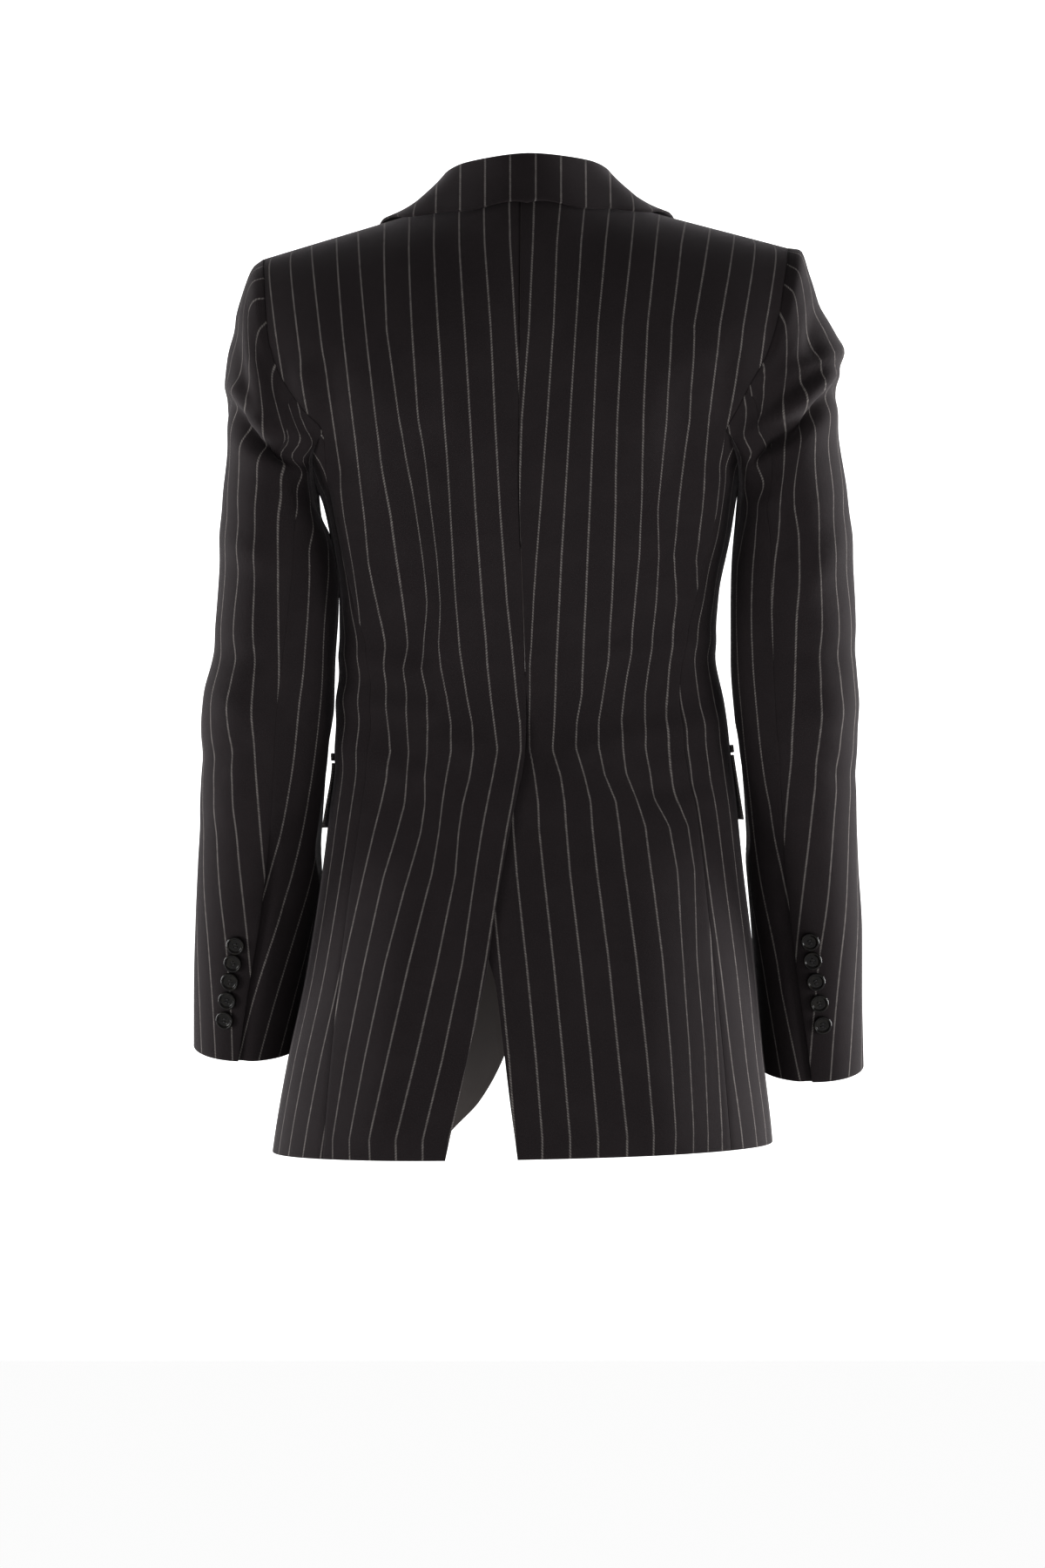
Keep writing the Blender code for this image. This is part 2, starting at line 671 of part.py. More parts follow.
def front_points(side, shoulder_cells):
    """One front's points, from its side seam to its front edge."""
    front = np.array(False)
    heights = panel_heights(side)
    along = (heights - HEM) / (heights[-1] - HEM)
    start = outward_edge(FRONT_EDGE, heights, side, front, -SEAM)
    seam = np.linspace(SHOULDER_HALF - SEAM, NECK_HALF, shoulder_cells + 1)
    seam_top = np.stack([side * seam, ridge_height(side * seam, front)], axis=-1)
    roll = roll_line(roll_shares(ROLL_CELLS)[1:])
    roll[:, 0] *= side
    top = np.concatenate([seam_top, roll])
    heights = HEM + (BREAK_HEIGHT - HEM) * along
    end = np.stack([-side * smooth(FRONT_CUT, 1, heights), heights], axis=-1)
    bottom_across = np.linspace(start[0, 0], end[0, 0], len(top))
    bottom = np.stack([bottom_across, np.full(len(top), HEM)], axis=-1)
    grid = patch(bottom, top, start, end, along)
    across, height = grid[..., 0], grid[..., 1]
    return lean(front_skin(side, across, height))


def under_front(side, across, height):
    """The wearer's left front passes under the right one where they lap, and its lapel does too."""
    if side < 0:
        return 0.0
    beneath_lapel = ease((height + 0.345) / 0.030) * ease((-0.150 - height) / 0.070)
    return -UNDER_DEPTH * (1 + 1.3 * beneath_lapel) * ease((0.052 - across) / 0.026)


def front_skin(side, across, height, out=0.0):
    amount = under_front(side, across, height) + out
    return skin(turn_of(across, height, np.array(False)), height, amount)


def grid_object(name, points, colour):
    """A wall made from a grid of points on its middle surface."""
    rows, columns = points.shape[:2]
    mesh = bpy.data.meshes.new(name)
    grid = bmesh.new()
    bmesh.ops.create_grid(grid, x_segments=columns - 1, y_segments=rows - 1, size=1.0)
    for vertex in grid.verts:
        column = round((vertex.co.x + 1) / 2 * (columns - 1))
        row = round((vertex.co.y + 1) / 2 * (rows - 1))
        vertex.co = points[row, column]
    for face in grid.faces:
        face.smooth = True
    grid.to_mesh(mesh)
    grid.free()
    made = bpy.data.objects.new(name, mesh)
    blazer.objects.link(made)
    shell = made.modifiers.new("wall", "SOLIDIFY")
    shell.thickness = WALL
    shell.offset = 0.0
    shell.use_quality_normals = True
    mesh.materials.append(material(name, colour, 0.85))
    return made


def material(name, colour, roughness):
    made = bpy.data.materials.new(name)
    made.use_nodes = True
    shader = made.node_tree.nodes["Principled BSDF"]
    shader.inputs["Base Color"].default_value = colour
    shader.inputs["Roughness"].default_value = roughness
    made.diffuse_color = colour
    return made


def armhole(side):
    """The armhole's line on the body, from the shoulder down the back and up the front.

    The panels' own points are every sixth of these.
    """
    behind = np.array(True)
    rows = BACK_EDGE_LEFT if side > 0 else BACK_EDGE_RIGHT
    upper = panel_heights(side)[SEAM_ROWS:]
    fine = np.interp(np.arange(6 * YOKE_ROWS + 1) / 6, np.arange(YOKE_ROWS + 1), upper)
    back_z, front_z = fine[::-1], fine
    back = turn_of(side * smooth(rows, 1, back_z), back_z, behind)
    front = turn_of(side * smooth(FRONT_EDGE, 1, front_z), front_z, ~behind)
    share = np.linspace(0.0, 1.0, 6 * UNDERARM_CELLS + 1)[1:-1]
    turn = np.concatenate([back, back[-1] + (front[0] - back[-1]) * share, front])
    height = np.concatenate([back_z, underarm_height(share, side), front_z])
    lowest = int(np.argmin(height))
    points = skin(turn, height)
    down = cumulative_share(points[: lowest + 1]) * 180.0
    up = 180.0 + cumulative_share(points[lowest:]) * 180.0
    return turn, height, points, np.concatenate([down, up[1:]])


def sleeve_start(side, degrees):
    """The sleeve's first ring: just outside the armhole, and clear of the side panel beneath it."""
    turn, height, points, around = armhole(side)
    normal = skin_normal(turn, height)
    away = np.cross(np.gradient(points, axis=0), normal)
    away /= np.linalg.norm(away, axis=-1, keepdims=True)
    away *= np.sign(np.sum(away * (points - np.array([0.0, 0.0, -0.45])), axis=-1))[:, None]
    under = ease((-0.150 - height) / 0.035)[:, None]
    cap = ease((height + 0.070) / 0.035)[:, None]
    direction = away * (1 - under) + normal
    direction /= np.linalg.norm(direction, axis=-1, keepdims=True)
    direction = direction * (1 - cap) + np.array([side, 0.0, 0.0]) * cap
    points = points + direction * (LAYER + 0.0008 + 0.0005 * under)
    return np.stack([np.interp(degrees % 360.0, around, points[:, k]) for k in range(3)], axis=-1)


def sleeve_ring(side, along, degrees):
    """A sleeve's plain tube, from its outer and inner lines and its depths."""
    outer = SLEEVE_OUT_LEFT if side > 0 else SLEEVE_OUT_RIGHT
    inner = SLEEVE_IN_LEFT if side > 0 else SLEEVE_IN_RIGHT
    out_x, out_z = smooth(outer, 1, along), smooth(outer, 2, along)
    in_x, in_z = smooth(inner, 1, along), smooth(inner, 2, along)
    middle, half, dip = (smooth(SLEEVE_DEPTH, k, along) for k in (1, 2, 3))
    cosine, sine = np.cos(np.radians(degrees)), np.sin(np.radians(degrees))
    x = 0.5 * (out_x + in_x) + 0.5 * (out_x - in_x) * cosine
    z = 0.5 * (out_z + in_z) + 0.5 * (out_z - in_z) * cosine + dip * sine
    return np.stack([side * x, middle + half * sine, z], axis=-1)


def beside_body(points, side):
    """Moves a sleeve's points outward where they would touch the body's side."""
    across, depth, height = side * points[..., 0], points[..., 1], points[..., 2]
    height = height + LEAN * points[..., 0]
    half, reach, square = section(height, depth > 0, np.full(depth.shape, side > 0))
    share = np.clip(np.abs(depth) / reach, 0.0, 1.0)
    beside_flap = ease((FLAP_REACH - np.abs(height - FLAP_TOP + 0.5 * FLAP_TALL)) / 0.040)
    flap = FLAP_ROOM * beside_flap * ease((0.045 - depth) / 0.02)
    clear = half * (1 - share**square) ** (1 / square) + WALL + CLEAR + flap
    room = (across - clear) / CLEAR
    pushed = np.where(room < 30, np.log1p(np.exp(np.minimum(room, 30))), room)
    points = np.array(points)
    weight = ease((-0.195 - height) / 0.030)
    points[..., 0] += weight * (side * (clear + CLEAR * pushed) - points[..., 0])
    return points


def sleeve_skin(side, along, degrees, out=0.0):
    """A sleeve's worn form, joined to the armhole, with its folds."""
    along, degrees = np.broadcast_arrays(np.asarray(along, float), np.asarray(degrees, float))
    plain = sleeve_ring(side, along, degrees)
    start_gap = lean(sleeve_start(side, degrees)) - sleeve_ring(side, np.zeros_like(along), degrees)
    plain = plain + start_gap * ((1 - np.clip(along / 0.24, 0.0, 1.0)) ** 2)[..., None]
    step_along, step_round = 0.002, 1.0
    folds = SLEEVE_FOLDS_LEFT if side > 0 else SLEEVE_FOLDS_RIGHT
    amount = np.zeros(along.shape) + out
    for from_along, from_round, to_along, to_round, spread, depth in folds:
        share = np.clip((degrees - from_round) / (to_round - from_round), 0.0, 1.0)
        line = from_along + (to_along - from_along) * share
        ends = np.clip(degrees, from_round, to_round)
        away = np.hypot((along - line) * 0.6, np.radians(degrees - ends) * 0.05)
        amount = amount + depth * np.exp(-((away / spread) ** 2))
    near = sleeve_ring(side, along + step_along, degrees)
    near = near - sleeve_ring(side, along - step_along, degrees)
    turn = sleeve_ring(side, along, degrees + step_round)
    turn = turn - sleeve_ring(side, along, degrees - step_round)
    normal = side * np.cross(near, turn)
    normal /= np.linalg.norm(normal, axis=-1, keepdims=True)
    return beside_body(plain + amount[..., None] * normal * ease(along / 0.05)[..., None], side)


def hindarm(side, along):
    return smooth(HINDARM, 1 if side > 0 else 2, along)


def sleeve_points(side, upper, along):
    """The top or the under sleeve's points, from the cuff up to the armhole."""
    along = np.asarray(along)[:, None]
    corners = armhole(side)[3][::6]
    count = len(corners) - 1
    back_corner = YOKE_ROWS - 1
    front_corner = count - YOKE_ROWS + 1
    seam = np.degrees(SEAM / SLEEVE_RADIUS) * (1.4 + 3.6 * (1 - ease(along / 0.40)))
    back = hindarm(side, along)
    if upper:
        first = np.concatenate([corners[front_corner:-1] - 360.0, corners[: back_corner + 1]])
        start, end = FOREARM - 360.0 + seam, back - seam
    else:
        first = corners[back_corner : front_corner + 1][::-1].copy()
        start, end = FOREARM - seam, back + seam - ease((along - CUFF_VENT) / 0.03) * CUFF_UNDERLAP
    toward = np.linspace(1.0, -1.0, len(first))
    toward = np.where(np.abs(toward) == 1.0, toward * (1.0 if upper else -1.0), 0.0)
    share = np.linspace(0.0, 1.0, len(first))[None, :]
    even = start + (end - start) * share
    first = first[None, :] + toward[None, :] * seam
    degrees = first + (even - first) * ease(along / 0.30)
    if upper:
        return sleeve_skin(side, along, degrees)
    sunk = ease((CUFF_UNDERLAP + 16.0 - (degrees - back + CUFF_UNDERLAP)) / 14.0)
    sunk = sunk * ease((along - CUFF_VENT + 0.05) / 0.05)
    return sleeve_skin(side, along, degrees, -UNDER_DEPTH * sunk)


def turned_rows(roll, outer, shares, lowness):
    """Cloth turned over a fold line and laid back on the front: rows of (across, height) and out."""
    width = np.linalg.norm(outer - roll, axis=1)[:, None]
    direction = (outer - roll) / width
    flat, out = [], []
    for shift, off in TURN:
        flat.append(roll + direction * shift)
        out.append(np.full(lowness.shape, off))
    first = np.minimum(0.006, 0.5 * width)
    for share in shares:
        flat.append(roll + direction * (first + (width - first) * share))
        bulge = LAPEL_BULGE * (1 - share) * ease(lowness / 0.15) * np.sqrt(1 - lowness)
        out.append(LAYER + LAPEL_LIES + (COLLAR_LIES - LAPEL_LIES) * (1 - lowness) + bulge)
    return np.stack(flat), np.stack(out)


def collar_front(side, seam, places, shares):
    """The collar's part before the shoulder, turned over the roll line like the lapel."""
    roll = seam[:, [0, 2]] * np.array([side, 1.0])
    edge = np.stack([smooth(COLLAR, 3, places), smooth(COLLAR_FRONT, 1, places)], axis=-1)
    gorge = roll_line(roll_shares(ROLL_CELLS)[GORGE_CELLS])
    notch = gorge + (np.array(LAPEL_TIP) - gorge) * NOTCH_SHARE
    middle = 0.5 * (roll[-1] + edge[-1])
    rows, out = [], []
    for shift, off in COLLAR_TURN:
        rows.append(roll + ACROSS_ROLL * shift)
        out.append(off)
    for share in shares:
        bend = ease((places - 0.86) / 0.14)[:, None] * (1 - abs(2 * share - 1))
        rows.append(roll + (edge - roll) * share + (notch - middle) * bend)
        out.append(LAYER + COLLAR_LIES)
    flat = np.stack(rows)
    flat[:, -1, 1] += GAP
    turn = turn_of(side * flat[..., 0], flat[..., 1], np.array(False))
    return skin(turn, flat[..., 1], np.array(out)[:, None])


def lapel_points(side, across_count):
    """A lapel, from the roll line outward, lying on its front."""
    roll = roll_line(roll_shares(ROLL_CELLS)[GORGE_CELLS:])
    lowness = cumulative_share(roll)
    tip = np.array(LAPEL_TIP)
    end = roll[-1] + np.array([0.006, 0.001])
    belly = (0.012 * np.sin(np.pi * lowness))[:, None] * np.array([0.958, -0.285])
    outer = tip + (end - tip) * lowness[:, None] + belly
    flat, out = turned_rows(roll, outer, np.linspace(0.0, 1.0, across_count), lowness[:, None])
    flat[:, 0, 1] -= GAP
    points = front_skin(side, side * flat[..., 0], flat[..., 1], out[..., 0])
    return lean(points)


def shoulder_skin(across, depth, out):
    """A point of the body's upper side, found from above."""
    behind = depth > 0
    height = shoulder_line(across)
    for _ in range(4):
        half, reach, square = section(height, behind, across >= 0)
        full = reach * (1 - (np.abs(across) / half) ** square) ** (1 / square)
        rise = np.where(behind, BACK_REACH, FRONT_REACH)
        height = shoulder_line(across) - rise * (1 - np.sqrt(1 - np.clip(depth / full, -1.0, 1.0) ** 2))
    return skin(np.arctan2(across, np.where(behind, full, -full)), height, out)


def neck_seam(side, neck_cells):
    """The collar's seam: round the back neck, then down the first part of the roll line."""
    across = side * neck_across(neck_cells)
    height = neck_height(across)
    back = skin(turn_of(across, height, np.array(True)), height)
    back[:, 2] += COLLAR_SITS
    roll = roll_line(roll_shares(2 * ROLL_CELLS)[1 : 2 * GORGE_CELLS + 1])
    front = skin(turn_of(side * roll[:, 0], roll[:, 1], np.array(False)), roll[:, 1])
    front += np.array([-0.0012 * side, 0.0, 0.0006])
    points = np.concatenate([back, front])
    return points, cumulative_share(points)


def collar_half(side, neck_cells, fall_count):
    """Half the collar: up the stand, over the fold and down the fall."""
    seam, places = neck_seam(side, neck_cells)
    lean_in, rise, edge_across, edge_depth = (smooth(COLLAR, k, places) for k in (1, 2, 3, 4))
    to_middle = -side * np.abs(seam[:, 0]) - 0.001 * side
    inward = np.stack([to_middle, -0.8 * np.maximum(seam[:, 1], 0.0), np.zeros_like(places)], axis=-1)
    inward /= np.linalg.norm(inward, axis=-1, keepdims=True)
    fold = seam + inward * lean_in[:, None]
    fold[:, 2] += rise
    rest = LAYER + COLLAR_REST
    edge = shoulder_skin(side * edge_across, edge_depth, rest)
    outward = edge - fold
    outward[:, 2] = 0.0
    outward /= np.linalg.norm(outward, axis=-1, keepdims=True)
    up = np.array([0.0, 0.0, 1.0])
    size = (FOLD_ROUND * (1 - 0.25 * ease((places - 0.7) / 0.3)))[:, None]
    rows = [seam + (fold - size * up - seam) * share for share in STAND_SHARES]
    for angle in np.radians(FOLD_ANGLES):
        rows.append(fold + size * (outward * (1 - np.cos(angle)) - up * (1 - np.sin(angle))))
    foot = rows[-1]
    shares = np.linspace(0.0, 1.0, fall_count + 1)[1:]
    for share in shares:
        line = foot + (edge - foot) * share
        lying = shoulder_skin(line[:, 0], line[:, 1], rest)
        low = ease((lying[:, 2] - line[:, 2] + FALL_SETTLES) / FALL_SETTLES)[:, None]
        rows.append(line + (lying - line) * np.maximum(low, 1.0 * (share == 1.0)))
    before = collar_front(side, seam, places, shares)
    blend = ease((places - 0.62) / 0.24)[None, :, None]
    return np.stack(rows) * (1 - blend) + before * blend


def collar_points(neck_cells, fall_count):
    """The collar from one notch to the other."""
    left, right = (collar_half(side, neck_cells, fall_count) for side in (1, -1))
    return lean(np.concatenate([right[:, :0:-1], left], axis=1))


def flap_points(side, across_count, down_count):
    """A pocket's flap, standing off the body more at its lower back corner."""
    share = np.linspace(0.0, 1.0, across_count + 1)[None, :]
    down = np.linspace(0.0, 1.0, down_count + 1)[:, None]
    turn = np.radians(FLAP_FROM + (FLAP_TO - FLAP_FROM) * share)
    height = FLAP_TOP - FLAP_TALL * down
    out = LAYER + FLAP_SITS + FLAP_STANDS * down**1.3 * (1 - 0.75 * ease(share / 0.6))
    return lean(skin(side * turn, height, out))[::-1]


def welt_points(side, across_count):
    """The jetting above a flap."""
    share = np.linspace(0.0, 1.0, across_count + 1)[None, :]
    rise = np.array([0.0, 0.5, 1.0])[:, None]
    turn = np.radians(FLAP_FROM - WELT_PASSES + (FLAP_TO - FLAP_FROM + 2 * WELT_PASSES) * share)
    height = FLAP_TOP + WALL + WELT_TALL * rise
    return lean(skin(side * turn, height, LAYER + WELT_SITS))


def button(name, centre, facing, radius, tall):
    """A four-hole button with a raised rim, turned about its axis."""
    profile = (
        (0.0, 0.0),
        (0.78 * radius, 0.0),
        (radius, 0.42 * tall),
        (0.97 * radius, 0.85 * tall),
        (0.86 * radius, tall),
        (0.72 * radius, 0.72 * tall),
        (0.0, 0.62 * tall),
    )
    mesh = bpy.data.meshes.new(name)
    edges = [(i, i + 1) for i in range(len(profile) - 1)]
    mesh.from_pydata([(x, 0.0, z) for x, z in profile], edges, [])
    made = bpy.data.objects.new(name, mesh)
    blazer.objects.link(made)
    spin = made.modifiers.new("turned", "SCREW")
    spin.steps = BUTTON_STEPS
    spin.render_steps = BUTTON_STEPS
    spin.use_merge_vertices = True
    spin.merge_threshold = 0.00005
    spin.use_normal_calculate = True
    holes = bmesh.new()
    for across, along in ((1, 1), (1, -1), (-1, 1), (-1, -1)):
        place = Matrix.Translation((0.17 * radius * across, 0.17 * radius * along, 0.5 * tall))
        hole = 0.085 * radius
        bmesh.ops.create_cone(
            holes,
            cap_ends=True,
            segments=5,
            radius1=hole,
            radius2=hole,
            depth=2 * tall,
            matrix=place,
        )
    hole_mesh = bpy.data.meshes.new(name + "_holes")
    holes.to_mesh(hole_mesh)
    holes.free()
    cutter = bpy.data.objects.new(name + "_holes", hole_mesh)
    cutter.hide_render = True
    cutter.display_type = "WIRE"
    cutters.objects.link(cutter)
    cut = made.modifiers.new("holes", "BOOLEAN")
    cut.operation = "DIFFERENCE"
    cut.solver = "EXACT"
    cut.object = cutter
    turned = Vector(facing).to_track_quat("Z", "Y").to_matrix().to_4x4()
    made.matrix_world = Matrix.Translation(Vector(centre)) @ turned
    cutter.matrix_world = made.matrix_world
    mesh.materials.append(material(name, button_colour, 0.25))
    return made


def unit(vector):
    return vector / np.linalg.norm(vector)


for old in list(bpy.data.objects):
    bpy.data.objects.remove(old)
blazer = bpy.data.collections.new("blazer")
cutters = bpy.data.collections.new("cutters")
bpy.context.scene.collection.children.link(blazer)
bpy.context.scene.collection.children.link(cutters)

grid_object("collar", collar_points(COLLAR_CELLS, FALL_ROWS), cloth_colour)
cap_rows = np.linspace(0.0, SLEEVE_CAP, CAP_ROWS + 1)[:-1]
sleeve_rows = np.concatenate([cap_rows, np.linspace(SLEEVE_CAP, 1.0, SLEEVE_ROWS + 1)])[::-1]
for side, word in ((1, "left"), (-1, "right")):
    grid_object("back_" + word, back_points(side, BACK_CELLS), cloth_colour)
    grid_object("side_" + word, side_points(side), cloth_colour)
    grid_object("front_" + word, front_points(side, SHOULDER_CELLS), cloth_colour)
    grid_object("lapel_" + word, lapel_points(side, LAPEL_ROWS), cloth_colour)
    grid_object("sleeve_" + word + "_top", sleeve_points(side, True, sleeve_rows), cloth_colour)
    grid_object("sleeve_" + word + "_under", sleeve_points(side, False, sleeve_rows), cloth_colour)
    grid_object("flap_" + word, flap_points(side, FLAP_CELLS, FLAP_ROWS), cloth_colour)
    grid_object("welt_" + word, welt_points(side, FLAP_CELLS), cloth_colour)
    for number, places in enumerate(CUFF_BUTTONS):
        along = places[0 if side > 0 else 1]
        degrees = hindarm(side, np.array(along)) - BUTTONS_BEFORE
        centre = sleeve_skin(side, along, degrees)
        near = sleeve_skin(side, along + 0.01, degrees) - centre
        across = sleeve_skin(side, along, degrees + 6.0) - centre
        facing = unit(side * np.cross(near, across))
        name = "cuff_button_%s_%d" % (word, number + 1)
        button(name, centre + facing * BUTTON_SEAT, facing, CUFF_BUTTON, CUFF_BUTTON_TALL)
for number, height in enumerate(FRONT_BUTTONS):
    turn = turn_of(np.array(0.0), np.array(height), np.array(False))
    facing = skin_normal(turn, np.array(height))
    centre = lean(skin(turn, np.array(height), BUTTON_SEAT))
    button("front_button_%d" % (number + 1), centre, facing, FRONT_BUTTON, FRONT_BUTTON_TALL)
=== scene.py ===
import bmesh
import bpy
import numpy as np
from mathutils import Matrix, Vector


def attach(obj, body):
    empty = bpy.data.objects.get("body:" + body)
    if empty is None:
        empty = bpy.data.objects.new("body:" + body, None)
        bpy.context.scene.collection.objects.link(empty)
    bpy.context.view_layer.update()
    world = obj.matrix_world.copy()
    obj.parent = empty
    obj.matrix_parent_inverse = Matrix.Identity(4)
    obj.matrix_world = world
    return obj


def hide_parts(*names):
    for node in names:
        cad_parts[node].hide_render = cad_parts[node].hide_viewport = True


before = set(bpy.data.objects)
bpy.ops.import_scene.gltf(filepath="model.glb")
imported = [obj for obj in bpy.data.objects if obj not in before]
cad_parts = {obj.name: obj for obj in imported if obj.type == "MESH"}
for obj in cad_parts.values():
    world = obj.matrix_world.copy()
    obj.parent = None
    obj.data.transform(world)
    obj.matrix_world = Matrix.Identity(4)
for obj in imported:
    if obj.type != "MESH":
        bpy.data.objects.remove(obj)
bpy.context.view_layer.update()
print("frame loaded")

# The camera, level and straight behind the garment
view = {"across": 0.0033, "away": 3.4, "height": -0.438, "lens": 102.0}
cameraData = bpy.data.cameras.new("camera")
cameraData.lens = view["lens"]
cameraData.sensor_width = 36.0
cameraData.clip_end = 60.0
camera = bpy.data.objects.new("camera", cameraData)
camera.location = (view["across"], view["away"], view["height"])
camera.rotation_euler = (np.pi / 2, 0.0, np.pi)
bpy.context.scene.collection.objects.link(camera)
bpy.context.scene.camera = camera

# The garment's own sizes, in metres; the wearer's left is +X and the front faces -Y
wall = 0.0016  # a panel's cloth with its interlining
gap = 0.0003  # between pieces that are sewn to each other
halfSeam = 0.00003  # from a seam's line to the edge of either piece
layer = wall + gap  # from the middle of one wall to the middle of one that lies on it
underDepth = layer + 0.0012  # a lapped panel's step down, with room for its facets
leanBy = 0.02  # the garment hangs lower at the wearer's left, by this much for each metre across

neckHalf = 0.070  # across, from the centre to where the shoulder seam meets the collar
shoulderHalf = 0.200
shoulderSlope = 0.28
ridgeTop = 0.0175  # height that the shoulder lines would reach at the centre
neckRise = 0.020
neckRiseSpread = 0.045
ridgeRound = 0.020
backReach = 0.150  # height over which the back fills out below the shoulder seam
frontReach = 0.200

hem = -0.7150
backNeck = 0.0060
ventTop = -0.4100
breakHeight = -0.300  # where the lapels begin to turn
frontLap = 0.020  # each front passes the centre by this much
seamTop = {1: -0.1716, -1: -0.1772}  # height where the side seams meet the armhole, by side
seamRows = 147  # a panel's rows below that height
yokeRows = 40  # and above it
underarmCells = 30
cornerCells = 5  # from the side seam's top up to the hindarm seam's
backCells = 54
shoulderCells = 24
fallRows = 4  # the collar's, past its fold
lapelRows = 4
flapCells = 45
flapRows = 15
neckCells = 30  # a back panel's columns that end on the back neck
collarCells = 48  # half the collar's columns round the back neck
rollCells = 66  # a front's columns that end on the roll line

# The body's level sections. Half widths to the wearer's left and right, depths behind and before
# the shoulder line, and how square the section is behind and before (2 is an ellipse).
body = (
    # height, left, right, back, front, square_back, square_front
    (-0.740, 0.1965, 0.1885, 0.1285, 0.1390, 2.20, 2.20),
    (-0.713, 0.1935, 0.1870, 0.1270, 0.1380, 2.20, 2.20),
    (-0.650, 0.1830, 0.1800, 0.1220, 0.1340, 2.20, 2.20),
    (-0.580, 0.1680, 0.1735, 0.1130, 0.1290, 2.20, 2.20),
    (-0.500, 0.1555, 0.1640, 0.0980, 0.1230, 2.25, 2.20),
    (-0.455, 0.1500, 0.1595, 0.0885, 0.1195, 2.28, 2.20),
    (-0.420, 0.1460, 0.1555, 0.0820, 0.1180, 2.30, 2.20),
    (-0.380, 0.1450, 0.1505, 0.0770, 0.1170, 2.30, 2.20),
    (-0.340, 0.1425, 0.1433, 0.0820, 0.1190, 2.30, 2.20),
    (-0.298, 0.1425, 0.1460, 0.0940, 0.1230, 2.35, 2.20),
    (-0.255, 0.1480, 0.1545, 0.1070, 0.1260, 2.40, 2.25),
    (-0.205, 0.1600, 0.1635, 0.1165, 0.1250, 2.50, 2.30),
    (-0.165, 0.1880, 0.1860, 0.1190, 0.1220, 2.60, 2.35),
    (-0.130, 0.2140, 0.2110, 0.1180, 0.1180, 2.65, 2.40),
    (-0.086, 0.2290, 0.2280, 0.1140, 0.1120, 2.70, 2.40),
    (-0.034, 0.2350, 0.2350, 0.1100, 0.1050, 2.70, 2.40),
    (0.040, 0.2350, 0.2350, 0.1080, 0.1000, 2.70, 2.40),
)

# Where the side-back seam, and above it the armhole, runs on the back.
backEdgeLeft = (
    # height, across
    (-0.740, 0.1540),
    (-0.640, 0.1460),
    (-0.550, 0.1370),
    (-0.460, 0.1250),
    (-0.410, 0.1185),
    (-0.375, 0.1165),
    (-0.335, 0.1200),
    (-0.300, 0.1290),
    (-0.250, 0.1415),
    (-0.205, 0.1490),
    (-0.1716, 0.1520),
    (-0.1534, 0.1658),
    (-0.1405, 0.1770),
    (-0.1212, 0.1880),
    (-0.1035, 0.1930),
    (-0.0758, 0.1963),
    (-0.0340, 0.2000),
)
backEdgeRight = (
    # height, across
    (-0.740, 0.1540),
    (-0.640, 0.1460),
    (-0.550, 0.1370),
    (-0.460, 0.1270),
    (-0.410, 0.1175),
    (-0.375, 0.1145),
    (-0.335, 0.1185),
    (-0.300, 0.1270),
    (-0.250, 0.1405),
    (-0.210, 0.1470),
    (-0.1772, 0.1500),
    (-0.1647, 0.1560),
    (-0.1428, 0.1668),
    (-0.1205, 0.1795),
    (-0.0948, 0.1880),
    (-0.0748, 0.1917),
    (-0.0340, 0.1990),
)
# Where the side-front seam, and above it the armhole, runs on either front.
frontEdge = (
    # height, across
    (-0.740, 0.1500),
    (-0.640, 0.1440),
    (-0.550, 0.1350),
    (-0.460, 0.1240),
    (-0.380, 0.1170),
    (-0.300, 0.1210),
    (-0.250, 0.1360),
    (-0.205, 0.1520),
    (-0.175, 0.1600),
    (-0.150, 0.1655),
    (-0.120, 0.1720),
    (-0.090, 0.1810),
    (-0.060, 0.1910),
    (-0.034, 0.1995),
)
# The underarm's dip, from the side-back seam to the side-front seam.
underarm = (
    # share, height
    (0.00, 0.0),
    (0.20, -0.018),
    (0.50, -0.036),
    (0.80, -0.020),
    (1.00, 0.0),
)
# The centre back seam, then the vent's edge on the wearer's left panel, which lies on top.
centreBackLine = (
    # height, across
    (-0.740, 0.0655),
    (-0.720, 0.0615),
    (-0.640, 0.0440),
    (-0.570, 0.0290),
    (-0.534, 0.0240),
    (-0.458, 0.0100),
    (-0.411, 0.0013),
    (-0.390, 0.0006),
    (-0.200, 0.0058),
    (0.010, 0.0044),
)
# The vent's edge on the wearer's right panel, which lies beneath.
ventUnder = (
    # height, across
    (-0.740, 0.0045),
    (-0.720, 0.0064),
    (-0.670, 0.0129),
    (-0.627, 0.0180),
    (-0.587, 0.0232),
    (-0.560, 0.0300),
    (-0.500, 0.0340),
    (-0.432, 0.0350),
)
# A front's edge below the break, measured past the centre line, cut away to the hem.
frontCut = (
    # height, across
    (-0.740, -0.0800),
    (-0.7150, -0.0620),
    (-0.690, -0.0380),
    (-0.650, -0.0165),
    (-0.590, 0.0020),
    (-0.510, 0.0150),
    (-0.430, 0.0200),
    (-0.300, 0.0200),
)

